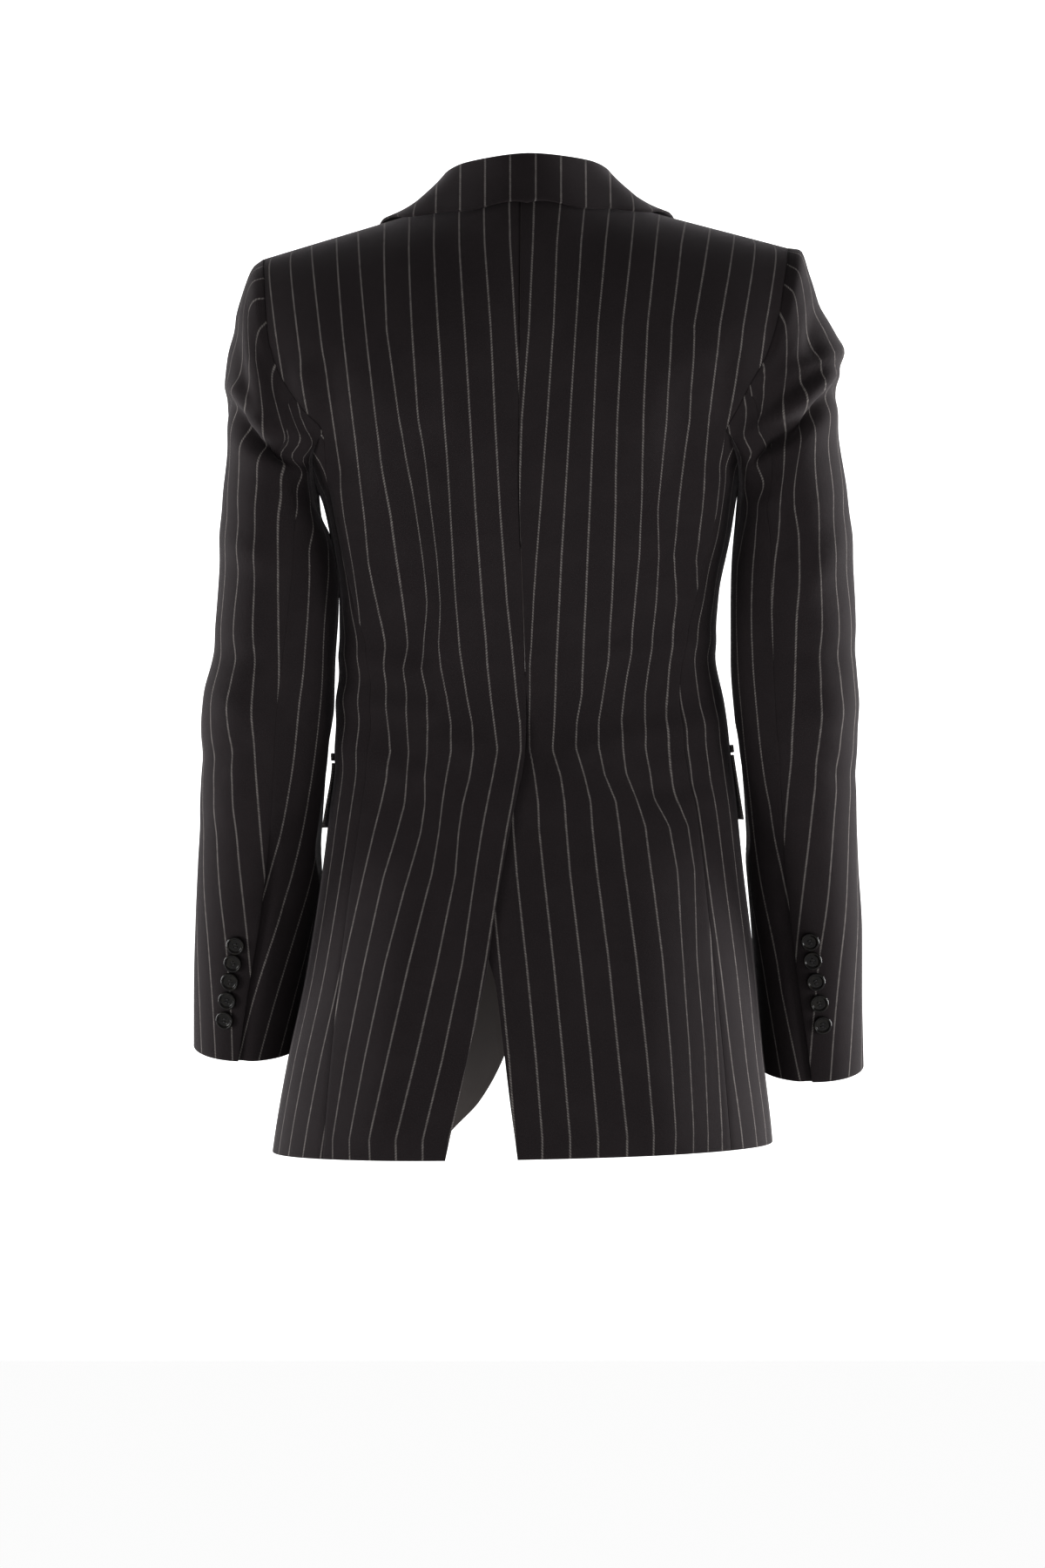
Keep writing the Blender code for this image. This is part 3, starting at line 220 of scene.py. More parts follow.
# Soft folds in the back's cloth, each along a line. A depth below nought is a valley.
backFolds = (
    # across, height, to_across, to_height, spread, depth
    (0.074, -0.190, 0.082, -0.330, 0.018, -0.0045),
    (0.106, -0.200, 0.110, -0.300, 0.018, 0.0035),
    (0.045, -0.240, 0.048, -0.330, 0.016, 0.0015),
    (-0.118, -0.150, -0.122, -0.270, 0.018, -0.0040),
    (-0.085, -0.180, -0.090, -0.310, 0.020, 0.0025),
    (0.006, -0.300, 0.002, -0.410, 0.024, -0.0050),
    (0.168, -0.130, 0.153, -0.205, 0.008, 0.0030),
    (0.148, -0.125, 0.140, -0.200, 0.010, -0.0025),
    (-0.150, -0.130, -0.146, -0.200, 0.010, -0.0025),
    (0.060, -0.120, 0.068, -0.200, 0.014, -0.0018),
    (-0.055, -0.130, -0.060, -0.210, 0.014, -0.0018),
    (0.030, -0.345, 0.075, -0.330, 0.010, 0.0018),
    (-0.030, -0.350, -0.070, -0.338, 0.010, 0.0018),
    (0.040, -0.410, 0.080, -0.400, 0.011, 0.0018),
    (-0.035, -0.415, -0.075, -0.412, 0.011, 0.0018),
    (0.085, -0.070, 0.085, -0.150, 0.045, 0.0030),
    (-0.080, -0.065, -0.080, -0.145, 0.045, 0.0030),
    (0.080, -0.352, 0.135, -0.338, 0.009, 0.0022),
    (0.075, -0.383, 0.135, -0.372, 0.010, 0.0026),
    (0.085, -0.430, 0.135, -0.408, 0.011, 0.0020),
    (-0.070, -0.342, -0.135, -0.332, 0.009, 0.0020),
    (-0.070, -0.404, -0.135, -0.396, 0.011, 0.0024),
    (-0.090, -0.445, -0.130, -0.440, 0.010, -0.0018),
    (0.085, -0.520, 0.105, -0.690, 0.026, 0.0035),
    (-0.080, -0.520, -0.095, -0.690, 0.028, 0.0030),
)

# A sleeve's outer line and inner line as seen from behind, from the cap to the cuff.
sleeveOutLeft = (
    # along, across, height
    (0.00, 0.2010, -0.0380),
    (0.02, 0.2085, -0.0435),
    (0.05, 0.2150, -0.0580),
    (0.10, 0.2229, -0.0865),
    (0.16, 0.2288, -0.1150),
    (0.22, 0.2305, -0.1450),
    (0.28, 0.2279, -0.1800),
    (0.34, 0.2315, -0.2200),
    (0.41, 0.2330, -0.2600),
    (0.48, 0.2355, -0.3000),
    (0.56, 0.2400, -0.3450),
    (0.64, 0.2480, -0.3950),
    (0.72, 0.2482, -0.4450),
    (0.80, 0.2518, -0.4950),
    (0.88, 0.2550, -0.5450),
    (0.94, 0.2570, -0.5900),
    (1.00, 0.2580, -0.6400),
)
sleeveInLeft = (
    # along, across, height
    (0.00, 0.1640, -0.2130),
    (0.10, 0.1590, -0.2350),
    (0.20, 0.1510, -0.2480),
    (0.30, 0.1450, -0.2640),
    (0.41, 0.1430, -0.2840),
    (0.48, 0.1442, -0.3080),
    (0.56, 0.1467, -0.3450),
    (0.64, 0.1482, -0.3950),
    (0.72, 0.1515, -0.4450),
    (0.80, 0.1560, -0.4950),
    (0.88, 0.1630, -0.5450),
    (0.94, 0.1700, -0.5900),
    (1.00, 0.1770, -0.6400),
)
sleeveOutRight = (
    # along, across, height
    (0.00, 0.2000, -0.0300),
    (0.02, 0.2085, -0.0310),
    (0.05, 0.2150, -0.0480),
    (0.10, 0.2227, -0.0707),
    (0.16, 0.2400, -0.1085),
    (0.22, 0.2382, -0.1360),
    (0.28, 0.2370, -0.1670),
    (0.34, 0.2437, -0.2150),
    (0.41, 0.2470, -0.2560),
    (0.48, 0.2497, -0.3000),
    (0.56, 0.2510, -0.3450),
    (0.64, 0.2516, -0.3950),
    (0.72, 0.2516, -0.4450),
    (0.80, 0.2540, -0.4980),
    (0.88, 0.2580, -0.5500),
    (0.94, 0.2590, -0.6000),
    (1.00, 0.2610, -0.6560),
)
sleeveInRight = (
    # along, across, height
    (0.00, 0.1640, -0.2130),
    (0.10, 0.1610, -0.2350),
    (0.20, 0.1590, -0.2480),
    (0.30, 0.1575, -0.2640),
    (0.41, 0.1565, -0.2840),
    (0.48, 0.1562, -0.3080),
    (0.56, 0.1562, -0.3450),
    (0.64, 0.1600, -0.3950),
    (0.72, 0.1650, -0.4450),
    (0.80, 0.1690, -0.4980),
    (0.88, 0.1740, -0.5500),
    (0.94, 0.1775, -0.6000),
    (1.00, 0.1800, -0.6560),
)
# Either sleeve's middle and half depth, front to back, and how far its back edge dips.
sleeveDepth = (
    # along, middle, half_depth, dip
    (0.00, -0.002, 0.068, 0.000),
    (0.10, 0.000, 0.068, 0.000),
    (0.20, 0.004, 0.066, 0.000),
    (0.30, 0.007, 0.063, 0.000),
    (0.41, 0.010, 0.059, 0.000),
    (0.56, 0.012, 0.053, 0.000),
    (0.64, 0.010, 0.050, -0.002),
    (0.80, -0.014, 0.046, -0.008),
    (1.00, -0.052, 0.040, -0.011),
)
# The hindarm seam's place round each sleeve, in degrees from its outer line towards the back.
hindarmLine = (
    # along, left, right
    (0.00, 118.0, 118.0),
    (0.30, 108.0, 114.0),
    (0.60, 101.0, 112.0),
    (0.85, 96.0, 110.0),
    (1.00, 84.0, 92.0),
)
forearm = 232.0  # the forearm seam, the same way round
# Creases on the back of each sleeve, placed as seen from behind: how wide each is, how deep its
# trough, how high the roll of cloth above it, and its line as (across, height).
creasesLeft = (
    (0.0070, -0.0120, 0.0070, (
        (0.2290, -0.1480), (0.2145, -0.1700), (0.2030, -0.1810), (0.1866, -0.1875), (0.1640, -0.1925),
    )),
    (0.0080, 0.0035, 0.0000, ((0.2118, -0.0827), (0.2069, -0.1138), (0.2020, -0.1334), (0.1949, -0.1650))),
    (0.0085, -0.0040, 0.0000, ((0.2210, -0.0950), (0.2170, -0.1230), (0.2110, -0.1520))),
    (0.0070, 0.0035, 0.0000, ((0.1965, -0.1250), (0.1883, -0.1531), (0.1785, -0.1662), (0.1640, -0.1800))),
    (0.0060, -0.0035, 0.0000, ((0.2050, -0.1600), (0.1900, -0.1720), (0.1780, -0.1770))),
    (0.0120, 0.0030, 0.0000, ((0.2380, -0.2450), (0.2180, -0.2600), (0.1960, -0.2700))),
    (0.0110, -0.0030, 0.0000, ((0.2440, -0.3330), (0.2270, -0.3420), (0.2060, -0.3450))),
    (0.0120, 0.0030, 0.0000, ((0.2500, -0.3600), (0.2330, -0.3750), (0.2100, -0.3830))),
    (0.0110, -0.0035, 0.0000, ((0.2560, -0.4140), (0.2400, -0.4180), (0.2150, -0.4120))),
    (0.0140, 0.0025, 0.0000, ((0.2560, -0.4500), (0.2380, -0.4580), (0.2200, -0.4560))),
    (0.0160, -0.0030, 0.0000, ((0.1750, -0.3800), (0.1800, -0.4500), (0.1900, -0.5200))),
)
creasesRight = (
    (0.0070, -0.0120, 0.0070, (
        (-0.2380, -0.1370), (-0.2285, -0.1467), (-0.2154, -0.1598),
        (-0.1960, -0.1729), (-0.1761, -0.1827), (-0.1620, -0.1890),
    )),
    (0.0075, 0.0050, 0.0000, (
        (-0.2400, -0.1080), (-0.2188, -0.1220), (-0.2024, -0.1302), (-0.1893, -0.1361),
    )),
    (0.0065, -0.0045, 0.0000, (
        (-0.2360, -0.1205), (-0.2122, -0.1318), (-0.1958, -0.1384), (-0.1795, -0.1433),
    )),
    (0.0085, 0.0030, 0.0000, (
        (-0.2066, -0.0500), (-0.2083, -0.0696), (-0.2057, -0.0876), (-0.1975, -0.1105),
    )),
    (0.0080, -0.0035, 0.0000, ((-0.2160, -0.0780), (-0.2122, -0.0974), (-0.2171, -0.1105))),
    (0.0090, 0.0035, 0.0000, ((-0.1582, -0.1941), (-0.1644, -0.2121), (-0.1775, -0.2252))),
    (0.0080, -0.0030, 0.0000, (
        (-0.1660, -0.2000), (-0.1780, -0.2150), (-0.1930, -0.2330), (-0.1960, -0.2600),
    )),
    (0.0130, 0.0030, 0.0000, ((-0.2450, -0.2500), (-0.2250, -0.2700), (-0.2050, -0.2950))),
    (0.0120, -0.0030, 0.0000, ((-0.2530, -0.3350), (-0.2330, -0.3420), (-0.2100, -0.3400))),
    (0.0130, 0.0030, 0.0000, ((-0.2540, -0.3750), (-0.2330, -0.3850), (-0.2050, -0.3900))),
    (0.0120, -0.0030, 0.0000, ((-0.2560, -0.4300), (-0.2350, -0.4280), (-0.2050, -0.4200))),
    (0.0140, -0.0030, 0.0000, ((-0.1780, -0.4600), (-0.1880, -0.5200), (-0.2000, -0.5700))),
)
# Similar ones on a sleeve's hidden front, for either side.
creasesFront = (
    (0.0090, -0.0060, 0.0040, ((0.2300, -0.1650), (0.2120, -0.1850), (0.1850, -0.2000), (0.1600, -0.2080))),
    (0.0090, 0.0035, 0.0000, ((0.2200, -0.0900), (0.2100, -0.1250), (0.1900, -0.1600))),
    (0.0120, -0.0045, 0.0030, ((0.1550, -0.3300), (0.1850, -0.3480), (0.2200, -0.3500))),
    (0.0120, -0.0045, 0.0030, ((0.1560, -0.3800), (0.1850, -0.3900), (0.2150, -0.3860))),
    (0.0130, -0.0035, 0.0000, ((0.1620, -0.4300), (0.1850, -0.4330), (0.2100, -0.4250))),
)

# The collar, from the centre back to the notch: how far along its neck seam each row is, how far
# the fold leans in from the seam and rises over it, and where the free edge lies.
collar = (
    # along, lean_in, rise, edge_across, edge_depth
    (0.00, 0.0130, 0.0285, 0.0000, 0.0735),
    (0.16, 0.0125, 0.0280, 0.0330, 0.0640),
    (0.32, 0.0110, 0.0270, 0.0640, 0.0450),
    (0.48, 0.0100, 0.0220, 0.0900, 0.0300),
    (0.60, 0.0095, 0.0170, 0.1060, 0.0020),
    (0.73, 0.0075, 0.0130, 0.1150, -0.0240),
    (0.87, 0.0050, 0.0070, 0.1190, -0.0440),
    (1.00, 0.0030, 0.0010, 0.1190, -0.0590),
)
# The free edge's height where it lies on the front.
collarFrontLine = (
    # along, edge_height
    (0.60, -0.010),
    (0.73, -0.020),
    (0.87, -0.040),
    (1.00, -0.058),
)
# The turn of a lapel, across from its fold: how far along the cloth, or past its edge where below
# nought, and how far off it.
turnRows = (
    # shift, out
    (-0.0024, -0.0002),
    (-0.0027, 0.0014),
    (-0.0010, 0.0026),
)
collarTurn = (
    # shift, out
    (-0.0012, -0.0004),
    (-0.0020, 0.0003),
    (-0.0026, 0.0012),
    (-0.0026, 0.0020),
    (-0.0022, 0.0027),
    (-0.0012, 0.0033),
    (0.0010, 0.0036),
)
acrossRoll = np.array([0.944, -0.330])  # square to the roll line, outward
standShares = (0.0, 0.45, 0.85)  # the stand's rows, from its seam up to the fold
foldAngles = (25.0, 70.0, 115.0, 155.0)  # and the rows round the fold
notchShare = 0.56  # where collar and lapel part, along the lapel's top edge
foldRound = 0.0030  # radius of the collar's turn

flapFrom = 86.0  # degrees round the body from the centre back
flapTo = 138.0
flapTop = -0.4190
flapTall = 0.050
flapStands = 0.0022  # how far the flap's lower edge stands off at its back end
flapSits = 0.0004  # the flap's upper edge off the front, past a layer, so that its facets clear
weltTall = 0.006
weltPasses = 0.5  # degrees that the jetting runs past either end of the flap
weltSits = 0.0009

collarRest = 0.0022  # how far the collar's fall stays off the shoulders
collarLies = 0.0014  # and off the fronts
lapelLies = 0.0008
lapelBulge = 0.0022  # more than that, just past the lapel's fold
collarSits = 0.5 * wall + gap + 0.0006  # its seam above the back neck's edge
fallSettles = 0.004  # height over which the fall comes down to rest
sleeveClear = 0.0003  # how far the sleeves stay off the body
armholeGap = 0.0006  # from the armhole's line to the sleeve's first ring
flapRoom = 0.0075  # more than that beside a flap
flapNear = {"height": 0.075, "heightFade": 0.040, "depth": 0.045, "depthFade": 0.02}
sleeveRadius = 0.046
cuffVent = 0.80  # share of the sleeve's length where its vent starts
cuffUnderlap = 22.0  # degrees that the under sleeve passes beneath the top sleeve
lapelTip = (0.1280, -0.0890)
gorgeCells = 18  # the roll line's first cells belong to the collar

cuffButtons = (
    # along_left, along_right
    (0.8890, 0.8775),
    (0.9075, 0.8965),
    (0.9260, 0.9155),
    (0.9445, 0.9345),
    (0.9630, 0.9530),
)
buttonsBefore = 19.0  # degrees from the cuff's vent to the middle of its buttons
frontButtons = (-0.306, -0.406)  # heights
cuffButton = 0.0072  # radius
cuffButtonTall = 0.0030
frontButton = 0.0105
frontButtonTall = 0.0038
buttonSeat = 0.5 * wall + gap + 0.0002  # from a wall's middle to the button's underside


def table(rows):
    return np.array(rows, float)


# reads a column of a table between its rows, with a cubic that never overshoots them
def smooth(rows, column, at):
    rows = table(rows)
    knots, values = rows[:, 0], rows[:, column]
    steps = np.diff(knots)
    slopes = np.diff(values) / steps
    tangents = np.concatenate([slopes[:1], np.zeros(len(slopes) - 1), slopes[-1:]])
    for i in range(1, len(slopes)):
        if slopes[i - 1] * slopes[i] > 0:
            before = 2 * steps[i] + steps[i - 1]
            after = steps[i] + 2 * steps[i - 1]
            tangents[i] = (before + after) / (before / slopes[i - 1] + after / slopes[i])
    at = np.clip(at, knots[0], knots[-1])
    i = np.clip(np.searchsorted(knots, at, side="right") - 1, 0, len(steps) - 1)
    u = (at - knots[i]) / steps[i]
    left = (1 + 2 * u) * (1 - u) ** 2 * values[i] + u * (1 - u) ** 2 * steps[i] * tangents[i]
    right = u * u * (3 - 2 * u) * values[i + 1] - u * u * (1 - u) * steps[i] * tangents[i + 1]
    return left + right


def ease(value):
    value = np.clip(value, 0.0, 1.0)
    return value * value * (3 - 2 * value)


# height of the shoulder's ridge
def shoulderLine(across):
    line = ridgeTop - shoulderSlope * (np.sqrt(across**2 + ridgeRound**2) - ridgeRound)
    return line + neckRise * np.exp(-((across / neckRiseSpread) ** 2))


def section(height, behind, toLeft):
    half = np.where(toLeft, smooth(body, 1, height), smooth(body, 2, height))
    depth = np.where(behind, smooth(body, 3, height), smooth(body, 4, height))
    square = np.where(behind, smooth(body, 5, height), smooth(body, 6, height))
    return half, depth, square


# the angle round the body, from the centre back, of a point that far across
def turnOf(across, height, behind):
    half, depth, square = section(height, behind, across >= 0)
    share = np.clip(np.abs(across) / half, 0.0, 1.0)
    full = depth * (1 - share**square) ** (1 / square)
    return np.arctan2(across, np.where(behind, full, -full))


# the body's plain form: a square-shouldered section that closes to the shoulder's ridge
def bareSkin(turn, height):
    sine, cosine = np.sin(turn), np.cos(turn)
    behind = cosine > 0
    half, depth, square = section(height, behind, sine >= 0)
    radius = ((np.abs(sine) / half) ** square + (np.abs(cosine) / depth) ** square) ** (-1 / square)
    across = radius * sine
    reach = np.where(behind, backReach, frontReach)
    drop = np.clip((shoulderLine(across) - height) / reach, 0.0, 1.0)
    swell = np.sqrt(1 - (1 - drop) ** 2)
    return np.stack([across, radius * cosine * swell, height], axis=-1)


# above nought within the body's upper part, and smooth right over the shoulder's ridge
def insideShoulder(across, depth, height, behind, toLeft):
    half, reachBack, square = section(height, behind, toLeft)
    drop = (shoulderLine(across) - height) / np.where(behind, backReach, frontReach)
    level = np.clip(1 - (np.abs(across) / half) ** square, 1e-6, None) ** (2 / square)
    return (1 - np.clip(1 - drop, 0.0, None) ** 2) * level - (depth / reachBack) ** 2


def skinNormal(turn, height):
    turn, height = np.broadcast_arrays(np.asarray(turn, float), np.asarray(height, float))
    step = 0.0005
    roundBody = bareSkin(turn + step, height) - bareSkin(turn - step, height)
    upward = bareSkin(turn, height + step) - bareSkin(turn, height - step)
    normal = np.cross(upward, roundBody)
    point = bareSkin(turn, height)
    behind, toLeft = np.cos(turn) > 0, np.sin(turn) >= 0
    slope = []
    for k in range(3):
        move = step * np.eye(3)[k]
        ends = [insideShoulder(*np.moveaxis(point + way * move, -1, 0), behind, toLeft) for way in (-1, 1)]
        slope.append(ends[0] - ends[1])
    drop = (shoulderLine(point[..., 0]) - height) / np.where(behind, backReach, frontReach)
    half = section(height, behind, toLeft)[0]
    upper = (drop < 0.4) & (np.abs(point[..., 0]) < 0.93 * half)
    normal = np.where(upper[..., None], np.stack(slope, axis=-1), normal)
    return normal / np.linalg.norm(normal, axis=-1, keepdims=True)


# how far the folds move each point, from its distance to each fold's line
def foldDepth(points, folds):
    total = np.zeros(points.shape[:-1])
    for fromX, fromZ, toX, toZ, spread, depth in folds:
        start = np.array([fromX, fromZ])
        along = np.array([toX - fromX, toZ - fromZ])
        offset = points[..., [0, 2]] - start
        share = np.clip(offset @ along / (along @ along), 0.0, 1.0)
        away = np.linalg.norm(offset - share[..., None] * along, axis=-1)
        total += depth * np.exp(-((away / spread) ** 2))
    return total


foldFade = 0.035  # height below the shoulder over which the back's folds begin


# a point of the worn form, moved out by a distance
def skin(turn, height, out=0.0):
    turn, height = np.broadcast_arrays(np.asarray(turn, float), np.asarray(height, float))
    points = bareSkin(turn, height)
    folds = foldDepth(points, backFolds) * ease((shoulderLine(points[..., 0]) - height) / foldFade)
    amount = np.where(np.cos(turn) > 0, folds, 0.0) + out
    return points + amount[..., None] * skinNormal(turn, height)


def lean(points):
    points = np.array(points, float)
    points[..., 2] -= leanBy * points[..., 0]
    return points


# fills between four edges given as rows of (across, height)
def patch(bottom, top, start, end, along):
    along = np.asarray(along)[:, None, None]
    level = (1 - along) * bottom[None] + along * top[None]
    topShare, bottomShare = cumulativeShare(top), cumulativeShare(bottom)
    share = topShare[None, :, None] * along + bottomShare[None, :, None] * (1 - along)
    sides = (1 - share) * start[:, None] + share * end[:, None]
    corners = (1 - share) * ((1 - along) * bottom[0] + along * top[0])
    corners = corners + share * ((1 - along) * bottom[-1] + along * top[-1])
    return level + sides - corners


def cumulativeShare(points):
    lengths = np.concatenate([[0.0], np.cumsum(np.linalg.norm(np.diff(points, axis=0), axis=1))])
    return lengths / lengths[-1]


# moves a point of the section along the cloth by an amount, as a change of its distance across
def seamShift(across, height, behind, amount):
    step = 0.0005
    near = bareSkin(turnOf(across - step, height, behind), height)
    far = bareSkin(turnOf(across + step, height, behind), height)
    stretch = np.linalg.norm(far - near, axis=-1) / (2 * step)
    return amount / stretch


# heights of a panel's rows at its outer edge, close together where it turns over the shoulder
def panelHeights(side):
    top = float(shoulderLine(np.array(shoulderHalf)))
    lower = np.linspace(hem, seamTop[side], seamRows + 1)
    angles = np.linspace(0.0, np.pi / 2, yokeRows + 1)[1:]
    return np.concatenate([lower, seamTop[side] + (top - seamTop[side]) * np.sin(angles)])


# the seam and the armhole above it, as (across, height), from the hem to the shoulder
def outwardEdge(rows, heights, side, behind, shift):
    heights = np.array(heights)
    across = side * smooth(rows, 1, heights)
    across = across + side * seamShift(across, heights, behind, shift)
    across[-1] = side * (shoulderHalf - abs(shift))
    heights[-1] = ridgeHeight(across[-1], behind)
    return np.stack([across, heights], axis=-1)


# height of the shoulder seam's edge on one panel: half a gap down from the ridge
def ridgeHeight(across, behind):
    ridge = shoulderLine(across)
    half, depth, square = section(ridge, behind, across >= 0)
    full = depth * (1 - (np.abs(across) / half) ** square) ** (1 / square)
    reach = np.where(behind, backReach, frontReach)
    return ridge - reach * (1 - np.cos(np.arcsin(halfSeam / full)))


def centreBack(heights):
    return smooth(centreBackLine, 1, heights)


# the centre seam on the wearer's right panel, then the underlap of the vent
def rightBackEdge(heights):
    under = smooth(ventUnder, 1, heights)
    opened = ease((ventTop - heights) / 0.022)
    return (centreBack(heights) - halfSeam) * (1 - opened) + under * opened


# one back panel's points, (rows, columns, 3)
def backPoints(side, acrossCount):
    rows = backEdgeLeft if side > 0 else backEdgeRight
    heights = panelHeights(side)
    along = (heights - hem) / (heights[-1] - hem)
    end = outwardEdge(rows, heights, side, True, -halfSeam)
    neck = neckAcross(neckCells)
    shoulder = np.linspace(neckHalf, shoulderHalf - halfSeam, acrossCount - neckCells + 1)[1:]
    topAcross = side * np.concatenate([neck, shoulder])
    seamHeight = ridgeHeight(topAcross, np.array(True))
    topHeight = np.where(np.abs(topAcross) < neckHalf - 1e-6, neckHeight(topAcross), seamHeight)
    top = np.stack([topAcross, topHeight], axis=-1)
    heights = hem + (topHeight[0] - hem) * along
    inner = centreBack(heights) + halfSeam if side > 0 else rightBackEdge(heights)
    top[0, 0] = inner[-1]
    start = np.stack([inner, heights], axis=-1)
    bottomAcross = np.linspace(inner[0], end[0, 0], acrossCount + 1)
    bottom = np.stack([bottomAcross, np.full(acrossCount + 1, hem)], axis=-1)
    grid = patch(bottom, top, start, end, along)
    across, height = grid[..., 0], grid[..., 1]
    return lean(backSkin(side, across, height)), across, height


# distances across of points evenly spaced along half the back neck's seam
def neckAcross(cells):
    across = neckHalf * np.sin(np.linspace(0.0, np.pi / 2, 200))
    height = neckHeight(across)
    share = cumulativeShare(skin(turnOf(across, height, np.array(True)), height))
    return np.interp(np.linspace(0.0, 1.0, cells + 1), share, across)


# height of the back neck's seam, beneath the collar
def neckHeight(across):
    return backNeck + (shoulderLine(neckHalf) - backNeck) * (np.abs(across) / neckHalf) ** 2


ventStep = {"across": 0.040, "acrossFade": 0.030, "top": -0.365, "topFade": 0.036}


# the back, with the wearer's right panel stepping down beneath the left one at the vent
def backSkin(side, across, height):
    out = np.zeros(across.shape)
    if side < 0:
        near = ease((across - centreBack(height) + ventStep["across"]) / ventStep["acrossFade"])
        out = -underDepth * near * ease((ventStep["top"] - height) / ventStep["topFade"])
    return skin(turnOf(across, height, np.array(True)), height, out)


def underarmHeight(share, side):
    return seamTop[side] + smooth(underarm, 1, share)


# a side panel's points, from its back seam to its front seam
def sidePoints(side):
    rows = backEdgeLeft if side > 0 else backEdgeRight
    share = np.linspace(0.0, 1.0, underarmCells + 1)[None, :]
    top = underarmHeight(share, side)
    along = np.linspace(0.0, 1.0, seamRows + 1)[:, None]
    height = hem + (top - hem) * along
    behind = np.array(True)
    back = side * smooth(rows, 1, height)
    back = back + side * seamShift(back, height, behind, halfSeam)
    front = side * smooth(frontEdge, 1, height)
    front = front + side * seamShift(front, height, ~behind, halfSeam)
    fromTurn = turnOf(back, height, behind)
    toTurn = turnOf(front, height, ~behind)
    return lean(skin(fromTurn + (toTurn - fromTurn) * share, height))


# the line a lapel turns on, from the collar's end of the shoulder to the break
def rollLine(share):
    across = neckHalf + (-frontLap - neckHalf) * share
    start = float(shoulderLine(np.array(neckHalf)))
    return np.stack([across, start + (breakHeight - start) * share], axis=-1)


# places on the roll line that are evenly spaced along the cloth
def rollShares(cells):
    fine = np.linspace(0.0, 1.0, 400)
    roll = rollLine(fine)
    points = skin(turnOf(roll[:, 0], roll[:, 1], np.array(False)), roll[:, 1])
    return np.interp(np.linspace(0.0, 1.0, cells + 1), cumulativeShare(points), fine)


# one front's points, from its side seam to its front edge
def frontPoints(side, shoulderCells):
    front = np.array(False)
    heights = panelHeights(side)
    along = (heights - hem) / (heights[-1] - hem)
    start = outwardEdge(frontEdge, heights, side, front, -halfSeam)
    seam = np.linspace(shoulderHalf - halfSeam, neckHalf, shoulderCells + 1)
    seamTop = np.stack([side * seam, ridgeHeight(side * seam, front)], axis=-1)
    roll = rollLine(rollShares(rollCells)[1:])
    roll[:, 0] *= side
    top = np.concatenate([seamTop, roll])
    heights = hem + (breakHeight - hem) * along
    end = np.stack([-side * smooth(frontCut, 1, heights), heights], axis=-1)
    bottomAcross = np.linspace(start[0, 0], end[0, 0], len(top))
    bottom = np.stack([bottomAcross, np.full(len(top), hem)], axis=-1)
    grid = patch(bottom, top, start, end, along)
    across, height = grid[..., 0], grid[..., 1]
    return lean(frontSkin(side, across, height))


lapStep = {
    "across": 0.052,
    "acrossFade": 0.026,
    "deeper": 1.3,  # beneath the other lapel, as a share more
    "low": -0.345,
    "lowFade": 0.030,
    "high": -0.150,
    "highFade": 0.070,
}


# the wearer's left front passes under the right one where they lap, and its lapel does too
def underFront(side, across, height):
    if side < 0:
        return 0.0
    beneath = ease((height - lapStep["low"]) / lapStep["lowFade"])
    beneath = beneath * ease((lapStep["high"] - height) / lapStep["highFade"])
    near = ease((lapStep["across"] - across) / lapStep["acrossFade"])
    return -underDepth * (1 + lapStep["deeper"] * beneath) * near


def frontSkin(side, across, height, out=0.0):
    amount = underFront(side, across, height) + out
    return skin(turnOf(across, height, np.array(False)), height, amount)


finePoints = 6  # points of the armhole's line for each cell of the panels


# the armhole's line on the body, from the shoulder down the back and up the front
def armhole(side):
    behind = np.array(True)
    rows = backEdgeLeft if side > 0 else backEdgeRight
    upper = panelHeights(side)[seamRows:]
    fine = np.interp(np.arange(finePoints * yokeRows + 1) / finePoints, np.arange(yokeRows + 1), upper)
    backZ, frontZ = fine[::-1], fine
    back = turnOf(side * smooth(rows, 1, backZ), backZ, behind)
    front = turnOf(side * smooth(frontEdge, 1, frontZ), frontZ, ~behind)
    share = np.linspace(0.0, 1.0, finePoints * underarmCells + 1)[1:-1]
    turn = np.concatenate([back, back[-1] + (front[0] - back[-1]) * share, front])
    height = np.concatenate([backZ, underarmHeight(share, side), frontZ])
    lowest = int(np.argmin(height))
    points = skin(turn, height)
    down = cumulativeShare(points[: lowest + 1]) * 180.0
    up = 180.0 + cumulativeShare(points[lowest:]) * 180.0
    return turn, height, points, np.concatenate([down, up[1:]])


startTurns = {"under": -0.150, "cap": -0.070, "fade": 0.035}  # heights at which its way out turns


# the sleeve's first ring: just outside the armhole, and clear of the side panel beneath it
def sleeveStart(side, degrees):
    turn, height, points, around = armhole(side)
    normal = skinNormal(turn, height)
    away = np.cross(np.gradient(points, axis=0), normal)
    away /= np.linalg.norm(away, axis=-1, keepdims=True)
    away *= np.sign(np.sum(away * (points - np.array([0.0, 0.0, -0.45])), axis=-1))[:, None]
    under = ease((startTurns["under"] - height) / startTurns["fade"])[:, None]
    cap = ease((height - startTurns["cap"]) / startTurns["fade"])[:, None]
    direction = away * (1 - under) + normal
    direction /= np.linalg.norm(direction, axis=-1, keepdims=True)
    direction = direction * (1 - cap) + np.array([side, 0.0, 0.0]) * cap
    points = points + direction * armholeGap
    return np.stack([np.interp(degrees % 360.0, around, points[:, k]) for k in range(3)], axis=-1)


